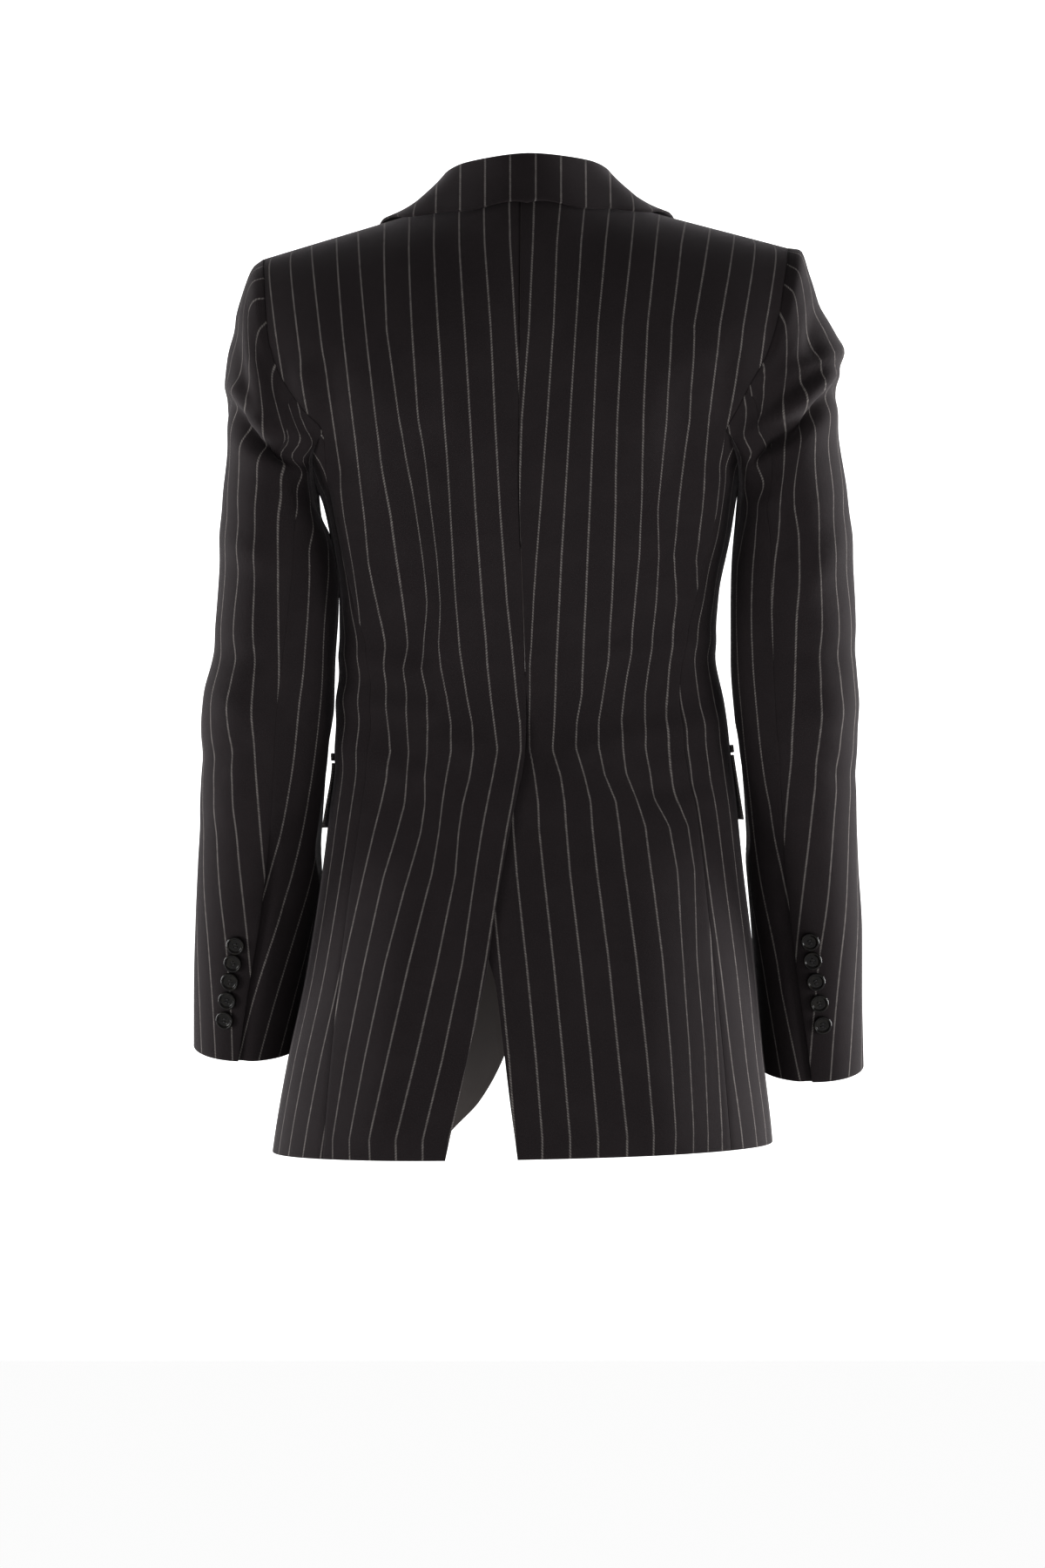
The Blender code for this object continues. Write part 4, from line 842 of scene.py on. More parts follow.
# a sleeve's plain tube, from its outer and inner lines and its depths
def sleeveRing(side, along, degrees):
    outer = sleeveOutLeft if side > 0 else sleeveOutRight
    inner = sleeveInLeft if side > 0 else sleeveInRight
    outX, outZ = smooth(outer, 1, along), smooth(outer, 2, along)
    inX, inZ = smooth(inner, 1, along), smooth(inner, 2, along)
    middle, half, dip = (smooth(sleeveDepth, k, along) for k in (1, 2, 3))
    cosine, sine = np.cos(np.radians(degrees)), np.sin(np.radians(degrees))
    x = 0.5 * (outX + inX) + 0.5 * (outX - inX) * cosine
    z = 0.5 * (outZ + inZ) + 0.5 * (outZ - inZ) * cosine + dip * sine
    return np.stack([side * x, middle + half * sine, z], axis=-1)


besideFrom = {"height": -0.195, "fade": 0.030}  # below the armhole


# moves a sleeve's points outward where they would touch the body's side
def besideBody(points, side):
    across, depth, height = side * points[..., 0], points[..., 1], points[..., 2]
    height = height + leanBy * points[..., 0]
    half, reach, square = section(height, depth > 0, np.full(depth.shape, side > 0))
    share = np.clip(np.abs(depth) / reach, 0.0, 1.0)
    level = np.abs(height - flapTop + 0.5 * flapTall)
    flap = flapRoom * ease((flapNear["height"] - level) / flapNear["heightFade"])
    flap = flap * ease((flapNear["depth"] - depth) / flapNear["depthFade"])
    clear = half * (1 - share**square) ** (1 / square) + wall + sleeveClear + flap
    room = (across - clear) / sleeveClear
    pushed = np.where(room < 30, np.log1p(np.exp(np.minimum(room, 30))), room)
    points = np.array(points)
    weight = ease((besideFrom["height"] - height) / besideFrom["fade"])
    points[..., 0] += weight * (side * (clear + sleeveClear * pushed) - points[..., 0])
    return points


creaseShape = {"rollAway": 1.7, "rollSpread": 1.1, "endSpread": 1.2}  # as shares of a crease's width


# how far creases move each point, from the line that each follows
def creaseDepth(across, height, creases):
    total = np.zeros(np.shape(across))
    for spread, trough, roll, line in creases:
        best, signed, past = np.full(total.shape, 9.0), np.zeros(total.shape), np.zeros(total.shape)
        for i in range(len(line) - 1):
            (fromX, fromZ), (toX, toZ) = line[i : i + 2]
            size = np.hypot(toX - fromX, toZ - fromZ)
            wayX, wayZ = (toX - fromX) / size, (toZ - fromZ) / size
            run = (across - fromX) * wayX + (height - fromZ) * wayZ
            isFirst, isLast = i == 0, i == len(line) - 2
            held = np.clip(run, -9.0 if isFirst else 0.0, 9.0 if isLast else size)
            away = np.hypot(across - fromX - held * wayX, height - fromZ - held * wayZ)
            over = np.where((height - fromZ) * abs(wayX) > (across - fromX) * wayZ * np.sign(wayX), 1.0, -1.0)
            beyond = np.maximum(-run if isFirst else 0.0, run - size if isLast else 0.0)
            beyond = np.maximum(beyond, 0.0)
            nearer = away < best
            best, signed = np.where(nearer, away, best), np.where(nearer, away * over, signed)
            past = np.where(nearer, beyond, past)
        shape = trough * np.exp(-((signed / spread) ** 2))
        rollPlace, rollSpread = creaseShape["rollAway"] * spread, creaseShape["rollSpread"] * spread
        shape = shape + roll * np.exp(-(((signed - rollPlace) / rollSpread) ** 2))
        total = total + shape * np.exp(-((past / (creaseShape["endSpread"] * spread)) ** 2))
    return total


joinShare = 0.24  # share of a sleeve over which it settles from the armhole to its own form
# Where its creases fade, by the sine and cosine of the degrees round it, or by share of its length.
creaseFades = {
    "body": -0.93,
    "bodyFade": 0.45,
    "armhole": 0.12,
    "outline": 0.55,
    "outlineFade": 0.40,
    "outlineShare": 0.55,
    "back": -0.35,
    "front": 0.1,
    "turnFade": 0.5,
    "out": 0.05,
}


# a sleeve's worn form, joined to the armhole, with its folds
def sleeveSkin(side, along, degrees, out=0.0):
    along, degrees = np.broadcast_arrays(np.asarray(along, float), np.asarray(degrees, float))
    plain = sleeveRing(side, along, degrees)
    startGap = lean(sleeveStart(side, degrees)) - sleeveRing(side, np.zeros_like(along), degrees)
    plain = plain + startGap * ((1 - np.clip(along / joinShare, 0.0, 1.0)) ** 2)[..., None]
    stepAlong, stepRound = 0.002, 1.0
    sine = np.sin(np.radians(degrees))
    back = creaseDepth(plain[..., 0], plain[..., 2], creasesLeft if side > 0 else creasesRight)
    front = creaseDepth(side * plain[..., 0], plain[..., 2], creasesFront)
    cosine = np.cos(np.radians(degrees))
    at = creaseFades
    fade = ease((cosine - at["body"]) / at["bodyFade"]) * ease(along / at["armhole"])
    fade = fade * (1 - at["outlineShare"] * ease((cosine - at["outline"]) / at["outlineFade"]))
    folds = back * ease((sine - at["back"]) / at["turnFade"])
    folds = folds + front * ease((at["front"] - sine) / at["turnFade"])
    amount = folds * fade + out * ease(along / at["out"])
    near = sleeveRing(side, along + stepAlong, degrees) - sleeveRing(side, along - stepAlong, degrees)
    turn = sleeveRing(side, along, degrees + stepRound) - sleeveRing(side, along, degrees - stepRound)
    normal = side * np.cross(near, turn)
    normal /= np.linalg.norm(normal, axis=-1, keepdims=True)
    return besideBody(plain + amount[..., None] * normal, side)


def hindarm(side, along):
    return smooth(hindarmLine, 1 if side > 0 else 2, along)


sleeveEven = 0.30  # share of the length over which the columns spread evenly
ventFade = {"along": 0.03, "sunkAlong": 0.05, "sunkPast": 16.0, "sunkFade": 14.0}  # shares, degrees


# the top or the under sleeve's points, from the cuff up to the armhole
def sleevePoints(side, upper, along):
    along = np.asarray(along)[:, None]
    corners = armhole(side)[3][::finePoints]
    count = len(corners) - 1
    backCorner = yokeRows - cornerCells
    frontCorner = count - yokeRows + cornerCells
    seam = np.degrees(halfSeam / sleeveRadius) * 1.1
    back = hindarm(side, along)
    if upper:
        first = np.concatenate([corners[frontCorner:-1] - 360.0, corners[: backCorner + 1]])
        start, end = forearm - 360.0 + seam, back - seam
    else:
        first = corners[backCorner : frontCorner + 1][::-1].copy()
        under = ease((along - cuffVent) / ventFade["along"]) * cuffUnderlap
        start, end = forearm - seam, back + seam - under
    toward = np.linspace(1.0, -1.0, len(first))
    toward = np.where(np.abs(toward) == 1.0, toward * (1.0 if upper else -1.0), 0.0)
    share = np.linspace(0.0, 1.0, len(first))[None, :]
    even = start + (end - start) * share
    first = first[None, :] + toward[None, :] * seam
    degrees = first + (even - first) * ease(along / sleeveEven)
    if upper:
        return sleeveSkin(side, along, degrees), degrees
    past = cuffUnderlap + ventFade["sunkPast"] - (degrees - back + cuffUnderlap)
    sunk = ease(past / ventFade["sunkFade"])
    sunk = sunk * ease((along - cuffVent + ventFade["sunkAlong"]) / ventFade["sunkAlong"])
    return sleeveSkin(side, along, degrees, -underDepth * sunk), degrees


lapelFirst = 0.006  # from the lapel's fold to its first row that lies
lapelEase = 0.15  # share of its length over which the bulge begins
lapelFoot = (0.006, 0.001)  # its lowest corner, from the break
lapelBelly = 0.012  # how far its outer edge curves out
lapelOut = np.array([0.958, -0.285])  # and which way


# cloth turned over a fold line and laid back on the front: rows of (across, height) and out
def turnedRows(roll, outer, shares, lowness):
    width = np.linalg.norm(outer - roll, axis=1)[:, None]
    direction = (outer - roll) / width
    flat, out = [], []
    for shift, off in turnRows:
        flat.append(roll + direction * shift)
        out.append(np.full(lowness.shape, off))
    first = np.minimum(lapelFirst, 0.5 * width)
    for share in shares:
        flat.append(roll + direction * (first + (width - first) * share))
        bulge = lapelBulge * (1 - share) * ease(lowness / lapelEase) * np.sqrt(1 - lowness)
        out.append(layer + lapelLies + (collarLies - lapelLies) * (1 - lowness) + bulge)
    return np.stack(flat), np.stack(out)


# the collar's part before the shoulder, turned over the roll line like the lapel
def collarFront(side, seam, places, shares):
    roll = seam[:, [0, 2]] * np.array([side, 1.0])
    edge = np.stack([smooth(collar, 3, places), smooth(collarFrontLine, 1, places)], axis=-1)
    gorge = rollLine(rollShares(rollCells)[gorgeCells])
    notch = gorge + (np.array(lapelTip) - gorge) * notchShare
    middle = 0.5 * (roll[-1] + edge[-1])
    rows, out = [], []
    for shift, off in collarTurn:
        rows.append(roll + acrossRoll * shift)
        out.append(off)
    for share in shares:
        bend = ease((places - collarChange["bend"]) / collarChange["bendOver"])[:, None]
        bend = bend * (1 - abs(2 * share - 1))
        rows.append(roll + (edge - roll) * share + (notch - middle) * bend)
        out.append(layer + collarLies)
    flat = np.stack(rows)
    flat[:, -1, 1] += gap
    turn = turnOf(side * flat[..., 0], flat[..., 1], np.array(False))
    return skin(turn, flat[..., 1], np.array(out)[:, None])


# a lapel, from the roll line outward, lying on its front
def lapelPoints(side, acrossCount):
    roll = rollLine(rollShares(rollCells)[gorgeCells:])
    lowness = cumulativeShare(roll)
    tip = np.array(lapelTip)
    end = roll[-1] + np.array(lapelFoot)
    belly = (lapelBelly * np.sin(np.pi * lowness))[:, None] * lapelOut
    outer = tip + (end - tip) * lowness[:, None] + belly
    flat, out = turnedRows(roll, outer, np.linspace(0.0, 1.0, acrossCount), lowness[:, None])
    flat[:, 0, 1] -= gap
    points = frontSkin(side, side * flat[..., 0], flat[..., 1], out[..., 0])
    return lean(points)


# a point of the body's upper side, found from above
def shoulderSkin(across, depth, out):
    behind = depth > 0
    height = shoulderLine(across)
    for _ in range(4):
        half, reach, square = section(height, behind, across >= 0)
        full = reach * (1 - (np.abs(across) / half) ** square) ** (1 / square)
        rise = np.where(behind, backReach, frontReach)
        height = shoulderLine(across) - rise * (1 - np.sqrt(1 - np.clip(depth / full, -1.0, 1.0) ** 2))
    return skin(np.arctan2(across, np.where(behind, full, -full)), height, out)


# the collar's seam: round the back neck, then down the first part of the roll line
def neckSeam(side, neckCells):
    across = side * neckAcross(neckCells)
    height = neckHeight(across)
    back = skin(turnOf(across, height, np.array(True)), height)
    back[:, 2] += collarSits
    roll = rollLine(rollShares(2 * rollCells)[1 : 2 * gorgeCells + 1])
    front = skin(turnOf(side * roll[:, 0], roll[:, 1], np.array(False)), roll[:, 1])
    front += np.array([-0.0012 * side, 0.0, 0.0006])
    points = np.concatenate([back, front])
    return points, cumulativeShare(points)


# Places along the collar's seam where it changes, and over how much.
collarChange = {
    "bend": 0.86,
    "bendOver": 0.14,
    "thin": 0.7,
    "thinOver": 0.3,
    "front": 0.62,
    "frontOver": 0.24,
}
foldThins = 0.25  # share of the turn's radius lost towards the notch


# half the collar: up the stand, over the fold and down the fall
def collarHalf(side, neckCells, fallCount):
    seam, places = neckSeam(side, neckCells)
    leanIn, rise, edgeAcross, edgeDepth = (smooth(collar, k, places) for k in (1, 2, 3, 4))
    toMiddle = -side * np.abs(seam[:, 0]) - 0.001 * side
    inward = np.stack([toMiddle, -0.8 * np.maximum(seam[:, 1], 0.0), 0.0 * places], axis=-1)
    inward /= np.linalg.norm(inward, axis=-1, keepdims=True)
    fold = seam + inward * leanIn[:, None]
    fold[:, 2] += rise
    rest = layer + collarRest
    edge = shoulderSkin(side * edgeAcross, edgeDepth, rest)
    outward = edge - fold
    outward[:, 2] = 0.0
    outward /= np.linalg.norm(outward, axis=-1, keepdims=True)
    up = np.array([0.0, 0.0, 1.0])
    thin = ease((places - collarChange["thin"]) / collarChange["thinOver"])
    size = (foldRound * (1 - foldThins * thin))[:, None]
    rows = [seam + (fold - size * up - seam) * share for share in standShares]
    for angle in np.radians(foldAngles):
        rows.append(fold + size * (outward * (1 - np.cos(angle)) - up * (1 - np.sin(angle))))
    foot = rows[-1]
    shares = np.linspace(0.0, 1.0, fallCount + 1)[1:]
    for share in shares:
        line = foot + (edge - foot) * share
        lying = shoulderSkin(line[:, 0], line[:, 1], rest)
        low = ease((lying[:, 2] - line[:, 2] + fallSettles) / fallSettles)[:, None]
        rows.append(line + (lying - line) * np.maximum(low, 1.0 * (share == 1.0)))
    before = collarFront(side, seam, places, shares)
    blend = ease((places - collarChange["front"]) / collarChange["frontOver"])[None, :, None]
    return np.stack(rows) * (1 - blend) + before * blend


# the collar from one notch to the other
def collarPoints(neckCells, fallCount):
    left, right = (collarHalf(side, neckCells, fallCount) for side in (1, -1))
    return lean(np.concatenate([right[:, :0:-1], left], axis=1))


# a pocket's flap, standing off the body more at its lower back corner
def flapPoints(side, acrossCount, downCount):
    share = np.linspace(0.0, 1.0, acrossCount + 1)[None, :]
    down = np.linspace(0.0, 1.0, downCount + 1)[:, None]
    turn = np.radians(flapFrom + (flapTo - flapFrom) * share)
    height = flapTop - flapTall * down
    out = layer + flapSits + flapStands * down**1.3 * (1 - 0.75 * ease(share / 0.6))
    return lean(skin(side * turn, height, out))[::-1]


# the jetting above a flap
def weltPoints(side, acrossCount):
    share = np.linspace(0.0, 1.0, acrossCount + 1)[None, :]
    rise = np.array([0.0, 0.5, 1.0])[:, None]
    turn = np.radians(flapFrom - weltPasses + (flapTo - flapFrom + 2 * weltPasses) * share)
    height = flapTop + wall + weltTall * rise
    return lean(skin(side * turn, height, layer + weltSits))


def unit(vector):
    return vector / np.linalg.norm(vector)


# Stripes: where they cross the cloth, and how the cloth's coordinates follow them
stripePitch = 0.0190
# Both tables of the backs' stripes were printed by another script, from places where pale stripes
# were found in the photograph.
stripesLeft = (
    # height, then how far across the first to the ninth stripe runs, in mm
    (0.000, 13.1, 32.1, 50.7, 69.8, 88.9, 108.2, 130.0, 146.0, 167.9),
    (-0.035, 12.4, 31.2, 50.0, 69.1, 88.0, 106.8, 126.4, 142.9, 162.6),
    (-0.100, 8.7, 26.7, 46.0, 65.4, 84.7, 103.5, 119.2, 136.6, 153.7),
    (-0.170, 4.4, 23.6, 41.8, 61.1, 80.0, 93.0, 110.6, 128.1, 144.6),
    (-0.235, 0.7, 19.9, 37.9, 56.8, 72.2, 83.2, 100.1, 119.6, 136.8),
    (-0.270, -1.9, 17.3, 35.4, 54.7, 67.4, 78.5, 96.6, 116.4, 130.1),
    (-0.302, -3.9, 15.3, 33.4, 52.9, 64.7, 75.3, 93.0, 109.8, 125.0),
    (-0.332, -7.3, 11.9, 30.7, 50.2, 65.8, 77.7, 90.3, 106.1, 124.4),
    (-0.350, -9.1, 10.1, 29.6, 48.2, 64.3, 78.7, 92.1, 106.3, 123.4),
    (-0.372, -11.3, 7.9, 27.4, 45.0, 59.9, 74.4, 89.6, 104.7, 120.7),
    (-0.392, -14.0, 5.2, 24.8, 41.0, 56.7, 73.8, 89.4, 103.9, 119.3),
    (-0.412, -14.6, 4.6, 22.2, 39.8, 56.3, 74.5, 88.2, 101.7, 122.4),
    (-0.432, -11.3, 7.9, 25.6, 42.7, 60.2, 76.2, 89.0, 104.6, 124.0),
    (-0.452, -7.9, 11.3, 29.6, 47.8, 63.3, 75.9, 91.4, 109.4, 126.0),
    (-0.472, -4.0, 15.2, 33.4, 50.8, 65.4, 78.8, 96.8, 114.5, 130.0),
    (-0.505, 1.3, 20.5, 38.6, 53.1, 70.4, 87.0, 106.0, 121.9, 136.6),
    (-0.570, 11.7, 30.9, 47.8, 66.1, 86.3, 104.1, 120.5, 136.6, 148.3),
    (-0.640, 23.9, 43.1, 62.3, 81.7, 102.1, 119.4, 134.5, 148.2, 159.6),
    (-0.700, 38.4, 57.6, 76.8, 96.2, 115.7, 131.1, 144.2, 156.2, 167.8),
)
stripesRight = (
    # height, then how far across stripe nought to the ninth runs, in mm
    (0.000, -13.9, 5.3, 25.1, 43.4, 62.6, 82.1, 101.5, 123.4, 142.8, 162.9),
    (-0.035, -14.7, 4.5, 22.1, 40.0, 58.3, 78.0, 96.4, 115.8, 136.0, 156.0),
    (-0.100, -17.6, 1.6, 19.7, 36.1, 52.3, 70.4, 88.8, 107.0, 123.8, 143.5),
    (-0.170, -23.1, -3.9, 14.8, 31.6, 49.1, 66.5, 85.1, 102.9, 122.0, 135.8),
    (-0.235, -25.0, -5.8, 9.8, 27.7, 46.4, 65.4, 84.3, 96.0, 113.9, 133.3),
    (-0.270, -25.9, -6.7, 7.0, 25.6, 44.9, 64.4, 82.8, 97.5, 110.2, 129.8),
    (-0.302, -26.6, -7.4, 4.9, 24.3, 43.8, 63.3, 80.1, 95.4, 111.3, 128.3),
    (-0.332, -27.4, -8.2, 3.4, 22.9, 42.4, 61.4, 77.8, 93.0, 107.9, 128.9),
    (-0.350, -27.8, -8.6, 2.0, 22.1, 41.6, 60.3, 76.1, 91.3, 106.6, 129.6),
    (-0.372, -28.3, -9.1, 2.0, 21.5, 41.1, 57.0, 72.8, 88.5, 105.0, 130.4),
    (-0.392, -28.8, -9.6, 1.3, 20.9, 37.4, 53.7, 70.6, 88.2, 103.5, 131.1),
    (-0.412, -29.3, -10.1, 2.0, 19.6, 36.5, 53.4, 71.0, 88.1, 105.7, 131.9),
    (-0.432, -29.8, -10.6, 5.9, 25.4, 42.8, 57.8, 74.1, 92.4, 107.7, 132.6),
    (-0.452, -30.2, -11.0, 8.5, 28.0, 47.4, 66.2, 82.4, 95.7, 112.1, 133.4),
    (-0.472, -29.4, -10.2, 9.2, 29.3, 48.7, 68.9, 88.4, 106.5, 120.4, 134.1),
    (-0.505, -26.7, -7.5, 12.5, 32.0, 52.0, 72.1, 91.6, 112.0, 125.2, 135.3),
    (-0.570, -20.3, -0.3, 19.6, 39.6, 60.2, 80.2, 99.8, 115.6, 126.3, 137.6),
    (-0.640, -13.2, 6.5, 26.6, 47.1, 67.2, 87.7, 105.6, 120.1, 132.0, 141.5),
    (-0.700, -8.7, 11.3, 31.8, 52.4, 73.6, 92.9, 109.2, 123.0, 134.2, 144.9),
)
# Where the stripes run round each piece of a sleeve, in degrees, from its outer side inward: found
# in the same way, turned into degrees by another script, and rounded and filled in by hand.
grainLeftTop = (
    # along, then the degrees of the sixth stripe to stripe nought
    (0.00, 5, 17, 28, 42, 56, 80, 103),
    (0.04, 4, 14, 24, 38, 60, 85, 108),
    (0.08, 10, 24, 40, 60, 76, 96, 120),
    (0.12, 12, 26, 44, 62, 81, 106, 132),
    (0.16, 10, 26, 44, 62, 82, 105, 134),
    (0.20, 4, 20, 38, 56, 78, 101, 132),
    (0.24, -8, 10, 28, 48, 73, 96, 130),
    (0.28, -14, 5, 24, 44, 68, 93, 128),
    (0.32, -12, 8, 27, 46, 68, 91, 125),
    (0.37, -9, 11, 31, 50, 69, 91, 118),
    (0.43, -9, 11, 31, 52, 70, 92, 116),
    (0.50, -12, 9, 30, 50, 71, 95, 118),
    (0.58, -10, 12, 34, 55, 77, 100, 122),
    (0.66, -9, 14, 37, 59, 82, 104, 126),
    (0.74, 0, 22, 44, 66, 88, 112, 134),
    (0.82, 7, 30, 53, 76, 98, 120, 142),
    (0.90, 21, 44, 66, 88, 110, 132, 154),
    (0.95, 30, 52, 73, 96, 117, 139, 162),
    (1.00, 36, 58, 78, 100, 122, 144, 168),
)
grainLeftUnder = (
    # along, then the degrees of stripe nought to stripe minus three
    (0.00, 103, 122, 138, 154),
    (0.08, 130, 146, 162, 178),
    (0.12, 137, 152, 167, 182),
    (0.20, 132, 149, 166, 183),
    (0.28, 128, 149, 168, 187),
    (0.37, 122, 147, 169, 191),
    (0.50, 123, 144, 167, 190),
    (0.58, 123, 146, 168, 190),
    (0.66, 120, 141, 164, 187),
    (0.74, 112, 133, 157, 180),
    (0.82, 100, 122, 146, 170),
    (0.90, 84, 106, 129, 155),
    (1.00, 63, 84, 106, 130),
)
grainRightTop = (
    # along, then the degrees of the sixth stripe to stripe nought
    (0.00, -18, -4, 10, 24, 39, 57, 87),
    (0.04, -14, 0, 16, 34, 50, 70, 98),
    (0.08, -10, 6, 24, 44, 64, 80, 108),
    (0.12, -8, 8, 28, 48, 70, 90, 120),
    (0.16, -2, 18, 38, 58, 76, 98, 123),
    (0.20, -4, 14, 34, 56, 79, 98, 122),
    (0.24, -4, 16, 36, 62, 82, 98, 122),
    (0.28, 0, 20, 42, 62, 85, 100, 127),
    (0.32, 4, 24, 44, 64, 88, 104, 130),
    (0.37, 10, 32, 49, 66, 86, 108, 132),
    (0.43, 12, 34, 52, 69, 87, 111, 134),
    (0.50, 6, 28, 48, 67, 91, 114, 137),
    (0.58, 0, 24, 47, 69, 93, 117, 140),
    (0.66, 3, 26, 49, 73, 99, 123, 147),
    (0.74, 10, 34, 57, 82, 108, 132, 156),
    (0.82, 20, 43, 67, 94, 118, 142, 166),
    (0.90, 31, 57, 82, 107, 132, 156, 180),
    (0.95, 39, 65, 89, 114, 139, 164, 188),
    (1.00, 48, 72, 96, 121, 146, 170, 194),
)
grainRightUnder = (
    # along, then the degrees of stripe nought to stripe minus three
    (0.00, 87, 106, 122, 138),
    (0.08, 107, 126, 142, 158),
    (0.12, 120, 138, 154, 170),
    (0.20, 122, 143, 162, 180),
    (0.28, 127, 149, 170, 190),
    (0.37, 132, 157, 180, 202),
    (0.50, 135, 158, 181, 203),
    (0.58, 133, 155, 178, 200),
    (0.66, 131, 154, 177, 200),
    (0.74, 125, 150, 173, 196),
    (0.82, 115, 142, 166, 190),
    (0.90, 102, 129, 150, 174),
    (1.00, 80, 105, 126, 150),
)


# length along the cloth from the centre line to a point at that height
def alongCloth(across, height, behind):
    total = 0.0
    last = bareSkin(turnOf(0.0 * across, height, behind), height)
    for share in np.linspace(0.0, 1.0, 21)[1:]:
        here = bareSkin(turnOf(across * share, height, behind), height)
        total = total + np.linalg.norm(here - last, axis=-1)
        last = here
    return total


# counts stripes outward to each point, between the lines of a table
def countStripes(rows, first, across, height):
    behind = np.array(True)
    place = np.sign(across) * alongCloth(across, height, behind)
    lines = []
    for column in range(1, len(rows[0])):
        line = 0.001 * np.interp(height, table(rows)[::-1, 0], table(rows)[::-1, column])
        lines.append(np.sign(line) * alongCloth(line, height, behind))
    lines = np.stack(lines)
    cell = np.clip(np.sum(place > lines, axis=0) - 1, 0, len(lines) - 2)[None]
    low = np.take_along_axis(lines, cell, 0)[0]
    high = np.take_along_axis(lines, cell + 1, 0)[0]
    beyond = place > lines[-1]
    within = first + cell[0] + (place - low) / (high - low)
    return np.where(beyond, first + len(lines) - 1 + (place - lines[-1]) / stripePitch, within)


# counts stripes round a sleeve's piece, row by row, between the lines of a table
def countRound(rows, points, degrees, along):
    reach = alongRows(points)
    counted = []
    for k in range(len(along)):
        around, length = degrees[k], reach[k]
        if around[0] > around[-1]:
            around, length = around[::-1], length[-1] - length[::-1]
        lines = np.array([float(smooth(rows, column, along[k])) for column in range(1, len(rows[0]))])
        before = (length[1] - length[0]) / (around[1] - around[0])
        after = (length[-1] - length[-2]) / (around[-1] - around[-2])
        place = np.interp(lines, around, length)
        place = place + before * np.minimum(lines - around[0], 0.0)
        place = place + after * np.maximum(lines - around[-1], 0.0)
        number = np.interp(length, place, np.arange(len(place)) * 1.0)
        number = number + np.minimum(length - place[0], 0.0) / stripePitch
        number = number + np.maximum(length - place[-1], 0.0) / stripePitch
        counted.append(number[::-1] if degrees[k][0] > degrees[k][-1] else number)
    return np.stack(counted)


# rows between the rows of a grid, on a curve through them
def finer(points, times):
    padded = np.concatenate([2 * points[:1] - points[1:2], points, 2 * points[-1:] - points[-2:-1]])
    made = []
    for i in range(len(points) - 1):
        a, b, c, d = padded[i : i + 4]
        for t in np.arange(times) / times:
            bend = (2 * a - 5 * b + 4 * c - d) * t * t + (3 * b - a - 3 * c + d) * t**3
            made.append(b + 0.5 * ((c - a) * t + bend))
    made.append(points[-1])
    return np.stack(made)


# distance along each row of a grid, from its first column
def alongRows(points):
    steps = np.linalg.norm(np.diff(points, axis=1), axis=-1)
    return np.concatenate([np.zeros((len(points), 1)), np.cumsum(steps, axis=1)], axis=1)


# distance up each column of a grid, from its first row
def upColumns(points):
    return alongRows(points.swapaxes(0, 1)).T


# a group that takes the cloth's coordinates and some sizes
def newGroup(name, sizes, outputs):
    group = bpy.data.node_groups.new(name, "ShaderNodeTree")
    group.interface.new_socket("Cloth", in_out="INPUT", socket_type="NodeSocketVector")
    for label, value in sizes:
        made = group.interface.new_socket(label, in_out="INPUT", socket_type="NodeSocketFloat")
        made.default_value = value
    for label in outputs:
        group.interface.new_socket(label, in_out="OUTPUT", socket_type="NodeSocketFloat")
    return group, group.nodes.new("NodeGroupInput"), group.nodes.new("NodeGroupOutput")


# the cloth's coordinates in a group: stripes across, metres along, metres across, and a place
def splitCloth(group, given):
    split = group.nodes.new("ShaderNodeSeparateXYZ")
    group.links.new(given.outputs["Cloth"], split.inputs[0])
    metres = maths(group, "MULTIPLY", split.outputs[0], given.outputs["Pitch"])
    return split.outputs[0], split.outputs[1], metres, joined(group, metres, split.outputs[1])


# gives a node's inputs plain values, or links them to what other nodes give
def feed(tree, node, values):
    for slot, value in values:
        if isinstance(value, (int, float, tuple)):
            node.inputs[slot].default_value = value
        elif value is not None:
            tree.links.new(value, node.inputs[slot])


def maths(tree, operation, *values):
    node = tree.nodes.new("ShaderNodeMath")
    node.operation = operation
    feed(tree, node, enumerate(values))
    return node.outputs[0]


def spread(tree, *values):
    node = tree.nodes.new("ShaderNodeMapRange")
    node.interpolation_type = "SMOOTHSTEP"
    feed(tree, node, enumerate(values))  # value, its range, and the range it goes to
    return node.outputs[0]


def noise(tree, vector, scale, detail, roughness=0.5):
    node = tree.nodes.new("ShaderNodeTexNoise")
    given = (("Scale", scale), ("Detail", detail), ("Roughness", roughness), ("Vector", vector))
    feed(tree, node, given)
    return node.outputs[0]


def joined(tree, x, y):
    node = tree.nodes.new("ShaderNodeCombineXYZ")
    feed(tree, node, enumerate((x, y)))
    return node.outputs[0]


